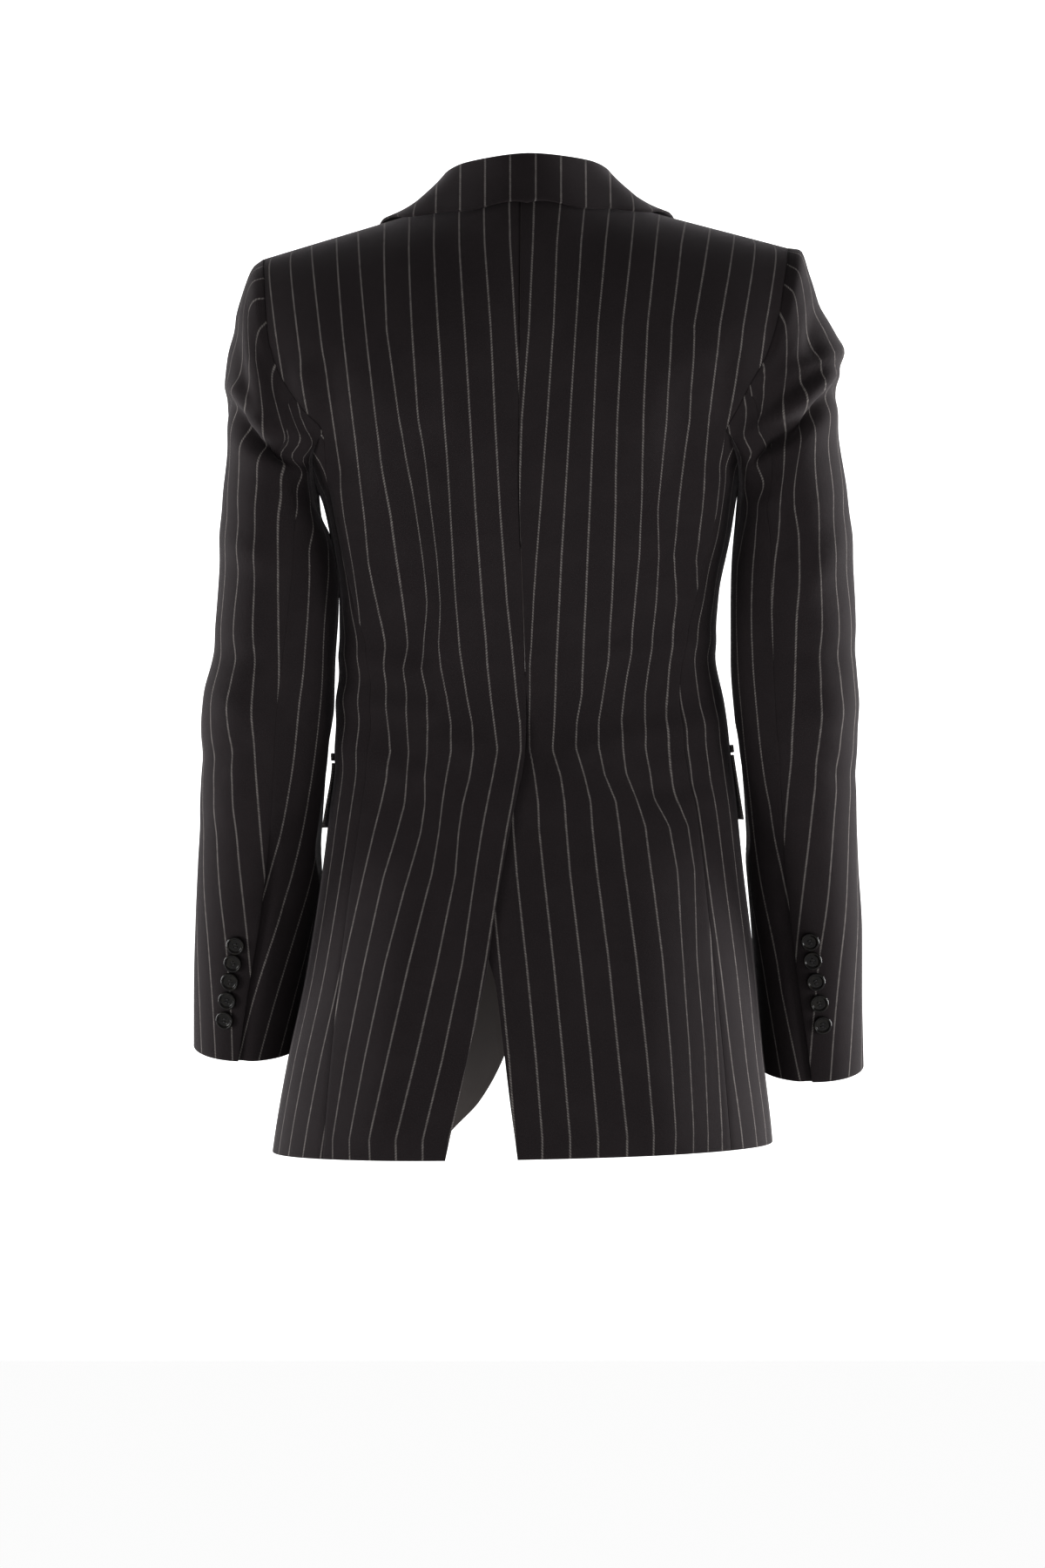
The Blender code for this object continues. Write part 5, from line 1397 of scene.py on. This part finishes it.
# chalk stripe: a broken, beaded line every whole number of U, with V in metres along it
def makeStripeGroup():
    sizes = (("Width", 0.0014), ("Pitch", 0.019), ("Bead", 0.0021))
    group, given, out = newGroup("chalkStripe", sizes, ("Mask", "Raised"))
    u, v, metres, place = splitCloth(group, given)
    wander = maths(group, "MULTIPLY_ADD", noise(group, place, 900.0, 2.0), 0.0008, -0.0004)
    middle = maths(group, "SUBTRACT", maths(group, "FRACT", maths(group, "ADD", u, 0.5)), 0.5)
    away = maths(group, "ABSOLUTE", maths(group, "MULTIPLY_ADD", middle, given.outputs["Pitch"], wander))
    half = maths(group, "MULTIPLY", given.outputs["Width"], 0.5)
    outer, inner = maths(group, "MULTIPLY", half, 1.35), maths(group, "MULTIPLY", half, 0.45)
    line = spread(group, away, outer, inner, 0.0, 1.0)
    slanted = maths(group, "ADD", v, maths(group, "MULTIPLY", metres, 0.9))  # the yarn's twist
    turn = maths(group, "DIVIDE", maths(group, "MULTIPLY", slanted, 2 * np.pi), given.outputs["Bead"])
    bead = spread(group, maths(group, "SINE", turn), -0.9, 0.3, 0.30, 1.0)
    worn = spread(group, noise(group, place, 160.0, 3.0, 0.7), 0.32, 0.62, 0.60, 1.0)
    beaded = maths(group, "MULTIPLY", line, bead)
    feed(group, out, (("Mask", maths(group, "MULTIPLY", beaded, worn)), ("Raised", beaded)))
    return group


# wool: the twill's slant, its fibres, and slow changes of tone
def makeWoolGroup():
    sizes = (("Pitch", 0.019), ("Wale", 0.0011))
    group, given, out = newGroup("woolTwill", sizes, ("Fibre", "Tone", "Weave"))
    v, metres, place = splitCloth(group, given)[1:]
    slant = maths(group, "ADD", metres, v)
    turn = maths(group, "DIVIDE", maths(group, "MULTIPLY", slant, 2 * np.pi), given.outputs["Wale"])
    fibre = noise(group, place, 1400.0, 4.0, 0.7)
    weave = maths(group, "ADD", maths(group, "MULTIPLY", maths(group, "SINE", turn), 0.3), fibre)
    tone = noise(group, place, 22.0, 3.0, 0.6)
    feed(group, out, (("Fibre", fibre), ("Tone", tone), ("Weave", weave)))
    return group


stripeGroup = makeStripeGroup()
woolGroup = makeWoolGroup()


def mixColour(tree, amount, first, second):
    node = tree.nodes.new("ShaderNodeMix")
    node.data_type = "RGBA"
    feed(tree, node, ((0, amount), (6, first), (7, second)))
    return node.outputs[2]


def bumpFrom(tree, height, distance, strength, under=None):
    node = tree.nodes.new("ShaderNodeBump")
    given = (("Distance", distance), ("Strength", strength), ("Height", height), ("Normal", under))
    feed(tree, node, given)
    return node.outputs[0]


# a new material with its tree and its shader
def newMaterial(name):
    made = bpy.data.materials.new(name)
    made.use_nodes = True
    return made, made.node_tree, made.node_tree.nodes["Principled BSDF"]


# the coordinates along and across the cloth
def clothPlace(tree):
    mapped = tree.nodes.new("ShaderNodeUVMap")
    mapped.uv_map = "cloth"
    return mapped.outputs[0]


# a group's node, with the cloth's coordinates given to it
def useGroup(tree, group, place):
    node = tree.nodes.new("ShaderNodeGroup")
    node.node_tree = group
    tree.links.new(place, node.inputs["Cloth"])
    return node


suitingLook = {
    "dark": (0.0086, 0.0068, 0.0074, 1.0),
    "light": (0.0190, 0.0155, 0.0162, 1.0),
    "chalk": (0.130, 0.119, 0.113, 1.0),
    "chalkShare": 0.95,
    "roughness": 0.90,
    "gloss": 0.06,
    "sheen": 0.11,
    "sheenRoughness": 0.30,
    "sheenTint": (0.90, 0.84, 0.88, 1.0),
}


def makeSuiting(name, look):
    made, tree, shader = newMaterial(name)
    cloth = clothPlace(tree)
    wool = useGroup(tree, woolGroup, cloth)
    flecks = spread(tree, wool.outputs["Fibre"], 0.42, 0.72, 0.0, 1.0)
    tone = spread(tree, wool.outputs["Tone"], 0.3, 0.7, 0.0, 0.35)
    colour = mixColour(tree, maths(tree, "MAXIMUM", flecks, tone), look["dark"], look["light"])
    normal = bumpFrom(tree, wool.outputs["Weave"], 0.00025, 0.5)
    stripe = useGroup(tree, stripeGroup, cloth)
    share = maths(tree, "MULTIPLY", stripe.outputs["Mask"], look["chalkShare"])
    colour = mixColour(tree, share, colour, look["chalk"])
    normal = bumpFrom(tree, stripe.outputs["Raised"], 0.00015, 0.6, normal)
    given = (
        ("Base Color", colour),
        ("Normal", normal),
        ("Roughness", look["roughness"]),
        ("Specular IOR Level", look["gloss"]),
        ("Sheen Weight", look["sheen"]),
        ("Sheen Roughness", look["sheenRoughness"]),
        ("Sheen Tint", look["sheenTint"]),
    )
    feed(tree, shader, given)
    return made


# satin lining: brown, with fine slanting ribs
liningLook = {
    "dark": (0.016, 0.010, 0.009, 1.0),
    "light": (0.030, 0.020, 0.016, 1.0),
    "rib": 0.0004,
    "roughness": 0.42,
    "sheen": 0.1,
}


def makeLining(name, look):
    made, tree, shader = newMaterial(name)
    wool = useGroup(tree, woolGroup, clothPlace(tree))
    wool.inputs["Wale"].default_value = look["rib"]
    colour = mixColour(tree, wool.outputs["Tone"], look["dark"], look["light"])
    normal = bumpFrom(tree, wool.outputs["Weave"], 0.00008, 0.3)
    feed(tree, shader, (("Base Color", colour), ("Normal", normal)))
    feed(tree, shader, (("Roughness", look["roughness"]), ("Sheen Weight", look["sheen"])))
    return made


# horn-like button: glossy black with faint clouding
buttonLook = {
    "dark": (0.0040, 0.0036, 0.0036, 1.0),
    "light": (0.009, 0.008, 0.006, 1.0),
    "roughness": 0.07,
    "rougher": 0.06,  # where scuffed
    "gloss": 0.13,
}


def makeButtonLook(name, look):
    made, tree, shader = newMaterial(name)
    place = tree.nodes.new("ShaderNodeTexCoord").outputs["Object"]
    cloud = spread(tree, noise(tree, place, 260.0, 3.0, 0.6), 0.4, 0.75, 0.0, 1.0)
    colour = mixColour(tree, cloud, look["dark"], look["light"])
    worn = look["roughness"] + look["rougher"]
    scuffs = spread(tree, noise(tree, place, 900.0, 2.0), 0.3, 0.7, look["roughness"], worn)
    normal = bumpFrom(tree, noise(tree, place, 700.0, 2.0), 0.00002, 0.2)
    feed(tree, shader, (("Base Color", colour), ("Normal", normal)))
    feed(tree, shader, (("Roughness", scuffs), ("Specular IOR Level", look["gloss"])))
    return made


threadLook = {"colour": (0.006, 0.005, 0.006, 1.0), "lighter": 2.2, "roughness": 0.8}


def makeThread(name, look):
    made, tree, shader = newMaterial(name)
    place = tree.nodes.new("ShaderNodeTexCoord").outputs["Object"]
    fibre = noise(tree, place, 3000.0, 2.0)
    lighter = tuple(look["lighter"] * c for c in look["colour"][:3]) + (1.0,)
    colour = mixColour(tree, fibre, look["colour"], lighter)
    normal = bumpFrom(tree, fibre, 0.0001, 0.6)
    feed(tree, shader, (("Base Color", colour), ("Normal", normal), ("Roughness", look["roughness"])))
    return made


suiting = makeSuiting("suiting", suitingLook)
lining = makeLining("lining", liningLook)
buttonShine = makeButtonLook("button", buttonLook)
thread = makeThread("thread", threadLook)
print("materials made")


# turns a grid round where its normals would face the wearer
def facingOut(points, stripes, lengths, middle):
    across = points[:-1, 1:] - points[:-1, :-1]
    upward = points[1:, :-1] - points[:-1, :-1]
    away = points[:-1, :-1] - middle
    side = np.sum(np.cross(across, upward) * away, axis=-1)
    if np.sum(side[-len(side) // 3 :]) < 0:
        return points[:, ::-1], stripes[:, ::-1], lengths[:, ::-1]
    return points, stripes, lengths


# an object in the scene, of a mesh that is then let go
def meshObject(name, shape, looks=()):
    mesh = bpy.data.meshes.new(name)
    shape.to_mesh(mesh)
    shape.free()
    for look in looks:
        mesh.materials.append(look)
    made = bpy.data.objects.new(name, mesh)
    bpy.context.scene.collection.objects.link(made)
    return made


# rounds the edges that turn by more than an angle
def roundEdges(made, name, width, angle):
    rim = made.modifiers.new(name, "BEVEL")
    rim.width = width
    rim.segments = 2
    rim.limit_method = "ANGLE"
    rim.angle_limit = np.radians(angle)


# a wall of cloth on a grid of points, with its coordinates along and across the stripes
def clothPiece(name, points, stripes, lengths, sheet):
    middle = sheet.get("middle", np.array([0.0, 0.0, -0.4]))
    points, stripes, lengths = facingOut(points, stripes, lengths, middle)
    rows, columns = points.shape[:2]
    grid = bmesh.new()
    bmesh.ops.create_grid(grid, x_segments=columns - 1, y_segments=rows - 1, size=1.0)
    mapped = grid.loops.layers.uv.new("cloth")
    place = {}
    for vertex in grid.verts:
        column = round((vertex.co.x + 1) / 2 * (columns - 1))
        row = round((vertex.co.y + 1) / 2 * (rows - 1))
        place[vertex] = (row, column)
        vertex.co = points[row, column]
    for face in grid.faces:
        face.smooth = True
        for corner in face.loops:
            at = place[corner.vert]
            corner[mapped].uv = (stripes[at], lengths[at])  # stripes counted, metres
    made = meshObject(name + "_cloth", grid, (suiting, sheet.get("inside", suiting)))
    shell = made.modifiers.new("wall", "SOLIDIFY")
    shell.thickness = wall
    shell.offset = 0.0
    shell.use_quality_normals = True
    shell.material_offset = 1
    roundEdges(made, "edges", sheet.get("edge", 0.0006), 50.0)
    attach(made, "root")
    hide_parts(name)


words = {1: "left", -1: "right"}
backSheet = {
    "flat": (0.205, 0.790),
    "area": {"back_left": 0.1135, "back_right": 0.1295},
    "held": "draped",
    "inside": lining,
}
sideSheet = {
    "flat": (0.150, 0.585),
    "area": {"side_left": 0.0795, "side_right": 0.0843},
    "held": "draped",
    "inside": lining,
}
frontSheet = {
    "flat": (0.265, 0.770),
    "area": {"front_left": 0.1135, "front_right": 0.1120},
    "held": "draped",
    "inside": lining,
}


stripeStart = {"side": 0.35, "lapel": -0.4}  # in stripes


def backPiece(side):
    points, across, height = backPoints(side, backCells)
    rows, first = (stripesLeft, 1) if side > 0 else (stripesRight, 0)
    return points, countStripes(rows, first, side * across, height), upColumns(points)


def sidePiece(side):
    points = sidePoints(side)
    reach = alongRows(points)
    return points, (reach - 0.5 * reach[:, -1:]) / stripePitch + stripeStart["side"], upColumns(points)


def frontPiece(side):
    points = frontPoints(side, shoulderCells)
    reach = alongRows(points)
    return points, (reach[:, -1:] - reach) / stripePitch, upColumns(points)


for side in (1, -1):
    word = words[side]
    clothPiece("back_" + word, *backPiece(side), backSheet)
    clothPiece("side_" + word, *sidePiece(side), sideSheet)
    clothPiece("front_" + word, *frontPiece(side), frontSheet)
print("body panels made")

collarSheet = {
    "flat": (0.400, 0.105),
    "area": {"collar": 0.0338},
    "held": "folded",
    "rests": ["back_left", "back_right"],
}
lapelSheet = {
    "flat": (0.095, 0.300),
    "area": {"lapel_left": 0.0158, "lapel_right": 0.0158},
    "held": "folded",
}


collarGrain = {"turnsFrom": 0.055, "turnsOver": 0.040, "first": 0.0123, "pitch": 0.0188}
gridTimes = {"collar": 4, "lapel": 4, "welt": 3}  # rows between the rows of each grid


# counts stripes across the collar: straight behind the neck, and round towards its ends
def collarStripes(points):
    step = np.diff(points, axis=1)
    beside = np.abs(0.5 * (points[:, 1:, 0] + points[:, :-1, 0]))
    turning = ease((beside - collarGrain["turnsFrom"]) / collarGrain["turnsOver"])
    size = np.sqrt(step[..., 0] ** 2 + turning * (step[..., 1] ** 2 + step[..., 2] ** 2))
    reach = np.concatenate([np.zeros((len(points), 1)), np.cumsum(size, axis=1)], axis=1)
    middle = points.shape[1] // 2
    reach = reach - reach[:, middle : middle + 1] + points[:, middle : middle + 1, 0]
    return 1 + (reach - collarGrain["first"]) / collarGrain["pitch"]


collarGrid = finer(collarPoints(collarCells, fallRows), gridTimes["collar"])
clothPiece("collar", collarGrid, collarStripes(collarGrid), upColumns(collarGrid), collarSheet)
for side in (1, -1):
    word = words[side]
    points = finer(lapelPoints(side, lapelRows), gridTimes["lapel"])
    outward = upColumns(points)
    stripes = (outward[-1:] - outward) / stripePitch + stripeStart["lapel"]
    lapelSheet["rests"] = ["front_" + word]
    clothPiece("lapel_" + word, points, stripes, alongRows(points), lapelSheet)
print("collar and lapels made")

topSheet = {
    "flat": (0.200, 0.640),
    "area": {"sleeve_left_top": 0.1130, "sleeve_right_top": 0.1225},
    "held": "hung",
    "inside": lining,
}
underSheet = {
    "flat": (0.150, 0.560),
    "area": {"sleeve_left_under": 0.0562, "sleeve_right_under": 0.0534},
    "held": "hung",
    "inside": lining,
}
capShare, capRows, lowerRows = 0.12, 20, 150  # rows lie closer over the sleeve's head
capRow = np.linspace(0.0, capShare, capRows)[:-1]
sleeveRow = np.concatenate([capRow, np.linspace(capShare, 1.0, lowerRows)])[::-1]
sleeveGrain = {1: (grainLeftTop, grainLeftUnder), -1: (grainRightTop, grainRightUnder)}
for side in (1, -1):
    name = "sleeve_" + words[side]
    points, degrees = sleevePoints(side, True, sleeveRow)
    centre = np.mean(points[:-1], axis=1, keepdims=True)
    topSheet["middle"] = centre
    stripes = countRound(sleeveGrain[side][0], points, degrees, sleeveRow)
    clothPiece(name + "_top", points, stripes, upColumns(points), topSheet)
    points, degrees = sleevePoints(side, False, sleeveRow)
    underSheet["middle"] = 0.5 * centre + 0.5 * np.mean(points[:-1], axis=1, keepdims=True)
    stripes = countRound(sleeveGrain[side][1], points, degrees, sleeveRow)
    clothPiece(name + "_under", points, stripes, upColumns(points), underSheet)
print("sleeves made")

flapSheet = {
    "flat": (0.150, 0.052),
    "area": {"flap_left": 0.0071, "flap_right": 0.0074},
    "held": "draped",
    "edge": 0.0007,
}
weltSheet = {
    "flat": (0.152, 0.0100),
    "area": {"welt_left": 0.00095, "welt_right": 0.0010},
    "held": "stretched",
    "edge": 0.0007,
}
for side in (1, -1):
    word = words[side]
    flapSheet["rests"] = ["side_" + word, "front_" + word]
    weltSheet["rests"] = ["side_" + word, "front_" + word]
    points = flapPoints(side, flapCells, flapRows)
    clothPiece("flap_" + word, points, alongRows(points) / stripePitch, upColumns(points), flapSheet)
    points = finer(weltPoints(side, flapCells), gridTimes["welt"])
    clothPiece("welt_" + word, points, alongRows(points) / stripePitch, upColumns(points), weltSheet)
print("pockets made")

# Buttons
buttonShape = (
    # share of the radius, share of the height
    (0.00, 0.00),
    (0.70, 0.00),
    (0.84, 0.07),
    (0.95, 0.25),
    (1.00, 0.48),
    (1.00, 0.66),
    (0.97, 0.83),
    (0.92, 0.95),
    (0.86, 1.00),
    (0.80, 0.96),
    (0.75, 0.86),
    (0.71, 0.74),
    (0.66, 0.66),
    (0.56, 0.61),
    (0.30, 0.60),
    (0.00, 0.60),
)
holePlaces = ((1, 1), (1, -1), (-1, 1), (-1, -1))
# Shares of the radius, but for the counts of corners and the thread's heights.
buttonCut = {
    "corners": 48,
    "reach": 0.17,  # from the middle to a hole, across and along
    "hole": 0.078,
    "holeCorners": 14,
    "soft": 0.012,
    "strand": 0.055,
    "strandCorners": 6,
    "strandRings": 9,
    "strandLow": 0.50,  # of the button's height
    "strandRise": 0.20,
}


# a closed tube over rings of corners
def tube(shape, rings):
    made = []
    for low, high in zip(rings[:-1], rings[1:]):
        for i in range(len(low)):
            after = (i + 1) % len(low)
            made.append(shape.faces.new((low[i], low[after], high[after], high[i])))
    made.append(shape.faces.new(rings[0][::-1]))
    made.append(shape.faces.new(rings[-1]))
    bmesh.ops.recalc_face_normals(shape, faces=made)
    return made


# a four-hole button at the origin, facing +Z, with its thread
def plainButton(radius, tall):
    turned = bmesh.new()
    angles = np.arange(buttonCut["corners"]) * 2 * np.pi / buttonCut["corners"]
    rings = []
    for out, up in buttonShape[1:-1]:
        size = out * radius
        rings.append([turned.verts.new((size * np.cos(a), size * np.sin(a), up * tall)) for a in angles])
    tube(turned, rings)
    blank = meshObject("plain", turned)
    reach, size = buttonCut["reach"] * radius, buttonCut["hole"] * radius
    cone = {"cap_ends": True, "segments": buttonCut["holeCorners"], "radius1": size, "radius2": size}
    holes = bmesh.new()
    for across, along in holePlaces:
        place = Matrix.Translation((reach * across, reach * along, 0.5 * tall))
        bmesh.ops.create_cone(holes, depth=2 * tall, matrix=place, **cone)
    cutter = meshObject("holes", holes)
    cut = blank.modifiers.new("cut", "BOOLEAN")
    cut.solver = "EXACT"
    cut.object = cutter
    roundEdges(blank, "soften", buttonCut["soft"] * radius, 60.0)
    graph = bpy.context.evaluated_depsgraph_get()
    shape = bpy.data.meshes.new_from_object(blank.evaluated_get(graph))
    bpy.data.objects.remove(blank)
    bpy.data.objects.remove(cutter)
    made = bmesh.new()
    made.from_mesh(shape)
    for face in made.faces:
        face.smooth = True
    slim = buttonCut["strand"] * radius
    angles = np.arange(buttonCut["strandCorners"]) * 2 * np.pi / buttonCut["strandCorners"]
    for along in (1, -1):  # two strands from hole to hole
        y = reach * along
        rings = []
        for share in np.linspace(0.0, 1.0, buttonCut["strandRings"]):
            x = reach * (2 * share - 1)
            z = tall * (buttonCut["strandLow"] + buttonCut["strandRise"] * np.sin(np.pi * share) ** 0.5)
            rings.append([made.verts.new((x, y + slim * np.cos(a), z + slim * np.sin(a))) for a in angles])
        for face in tube(made, rings):
            face.material_index = 1
            face.smooth = True
    return made


def placeButton(name, shape, centre, facing, spin):
    turned = Vector(facing).to_track_quat("Z", "Y").to_matrix().to_4x4()
    move = Matrix.Translation(Vector(centre)) @ turned @ Matrix.Rotation(spin, 4, "Z")
    copy = shape.copy()
    bmesh.ops.transform(copy, verts=copy.verts, matrix=move)
    made = meshObject(name + "_turned", copy, (buttonShine, thread))
    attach(made, "root")
    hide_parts(name)


cuffShape = plainButton(cuffButton, cuffButtonTall)
frontShape = plainButton(frontButton, frontButtonTall)
turns = np.random.default_rng(7).uniform(-0.6, 0.6, 12)
for side in (1, -1):
    for number, places in enumerate(cuffButtons):
        along = places[0 if side > 0 else 1]
        degrees = hindarm(side, np.array(along)) - buttonsBefore
        centre = sleeveSkin(side, along, degrees)
        near = sleeveSkin(side, along + 0.01, degrees) - centre
        across = sleeveSkin(side, along, degrees + 6.0) - centre
        facing = unit(side * np.cross(near, across))
        spin = turns[number + (0 if side > 0 else 5)]
        name = "cuff_button_%s_%d" % (words[side], number + 1)
        placeButton(name, cuffShape, centre + facing * buttonSeat, facing, spin)
for number, height in enumerate(frontButtons):
    turn = turnOf(np.array(0.0), np.array(height), np.array(False))
    facing = skinNormal(turn, np.array(height))
    centre = lean(skin(turn, np.array(height), buttonSeat))
    placeButton("front_button_%d" % (number + 1), frontShape, centre, facing, turns[10 + number])
print("buttons made")

# Floor, backdrop and light
stageLook = {"colour": (0.93, 0.93, 0.93, 1.0), "roughness": 0.9, "glow": 0.97}
# The sweep: its floor, where it bends up behind the garment, how roundly, its top, and its edges.
sweepSize = {"floor": -1.45, "bend": -4.4, "round": 1.2, "top": 6.0, "edge": 9.0}
sweepProfile = [(sweepSize["edge"], sweepSize["floor"]), (sweepSize["bend"], sweepSize["floor"])]
for angle in np.radians(np.arange(0, 91, 10)):
    y = sweepSize["bend"] - sweepSize["round"] * np.sin(angle)
    z = sweepSize["floor"] + sweepSize["round"] * (1 - np.cos(angle))
    sweepProfile.append((y, z))
sweepProfile.append((sweepSize["bend"] - sweepSize["round"], sweepSize["top"]))
sweep = bmesh.new()
ends = (-sweepSize["edge"], sweepSize["edge"])
edges = [[sweep.verts.new((x, y, z)) for y, z in sweepProfile] for x in ends]
for i in range(len(sweepProfile) - 1):
    face = sweep.faces.new((edges[0][i], edges[1][i], edges[1][i + 1], edges[0][i + 1]))
    face.smooth = True
paper, paperTree, paperShader = newMaterial("paper")
given = (
    ("Base Color", stageLook["colour"]),
    ("Roughness", stageLook["roughness"]),
    ("Emission Color", (1.0, 1.0, 1.0, 1.0)),
    ("Emission Strength", stageLook["glow"]),
)
feed(paperTree, paperShader, given)
backdrop = meshObject("backdrop", sweep, (paper,))


def softBox(name, place, towards, size, watts):
    data = bpy.data.lights.new(name, "AREA")
    data.shape = "RECTANGLE"
    data.size, data.size_y = size
    data.energy = watts
    made = bpy.data.objects.new(name, data)
    made.location = place
    made.rotation_euler = (Vector(towards) - Vector(place)).to_track_quat("-Z", "Y").to_euler()
    made.visible_camera = False
    bpy.context.scene.collection.objects.link(made)


# name, place, towards, size, watts
softBoxes = (
    ("key", (-3.0, 1.3, -0.8), (0.0, 0.0, -0.70), (1.2, 1.1), 70.0),
    ("fill", (3.0, 1.5, -0.8), (0.0, 0.0, -0.70), (1.2, 1.1), 64.0),
    ("edge_right", (-2.4, -0.9, -0.4), (-0.1, 0.0, -0.45), (0.8, 1.8), 150.0),
    ("edge_left", (2.4, -0.9, -0.4), (0.1, 0.0, -0.45), (0.8, 1.8), 85.0),
)
for box in softBoxes:
    softBox(*box)
world = bpy.context.scene.world or bpy.data.worlds.new("world")
bpy.context.scene.world = world
world.use_nodes = True
worldLook = (("Color", (1.0, 1.0, 1.0, 1.0)), ("Strength", 0.25))
feed(world.node_tree, world.node_tree.nodes["Background"], worldLook)
bpy.context.scene.view_settings.view_transform = "Standard"
print("stage and light made")
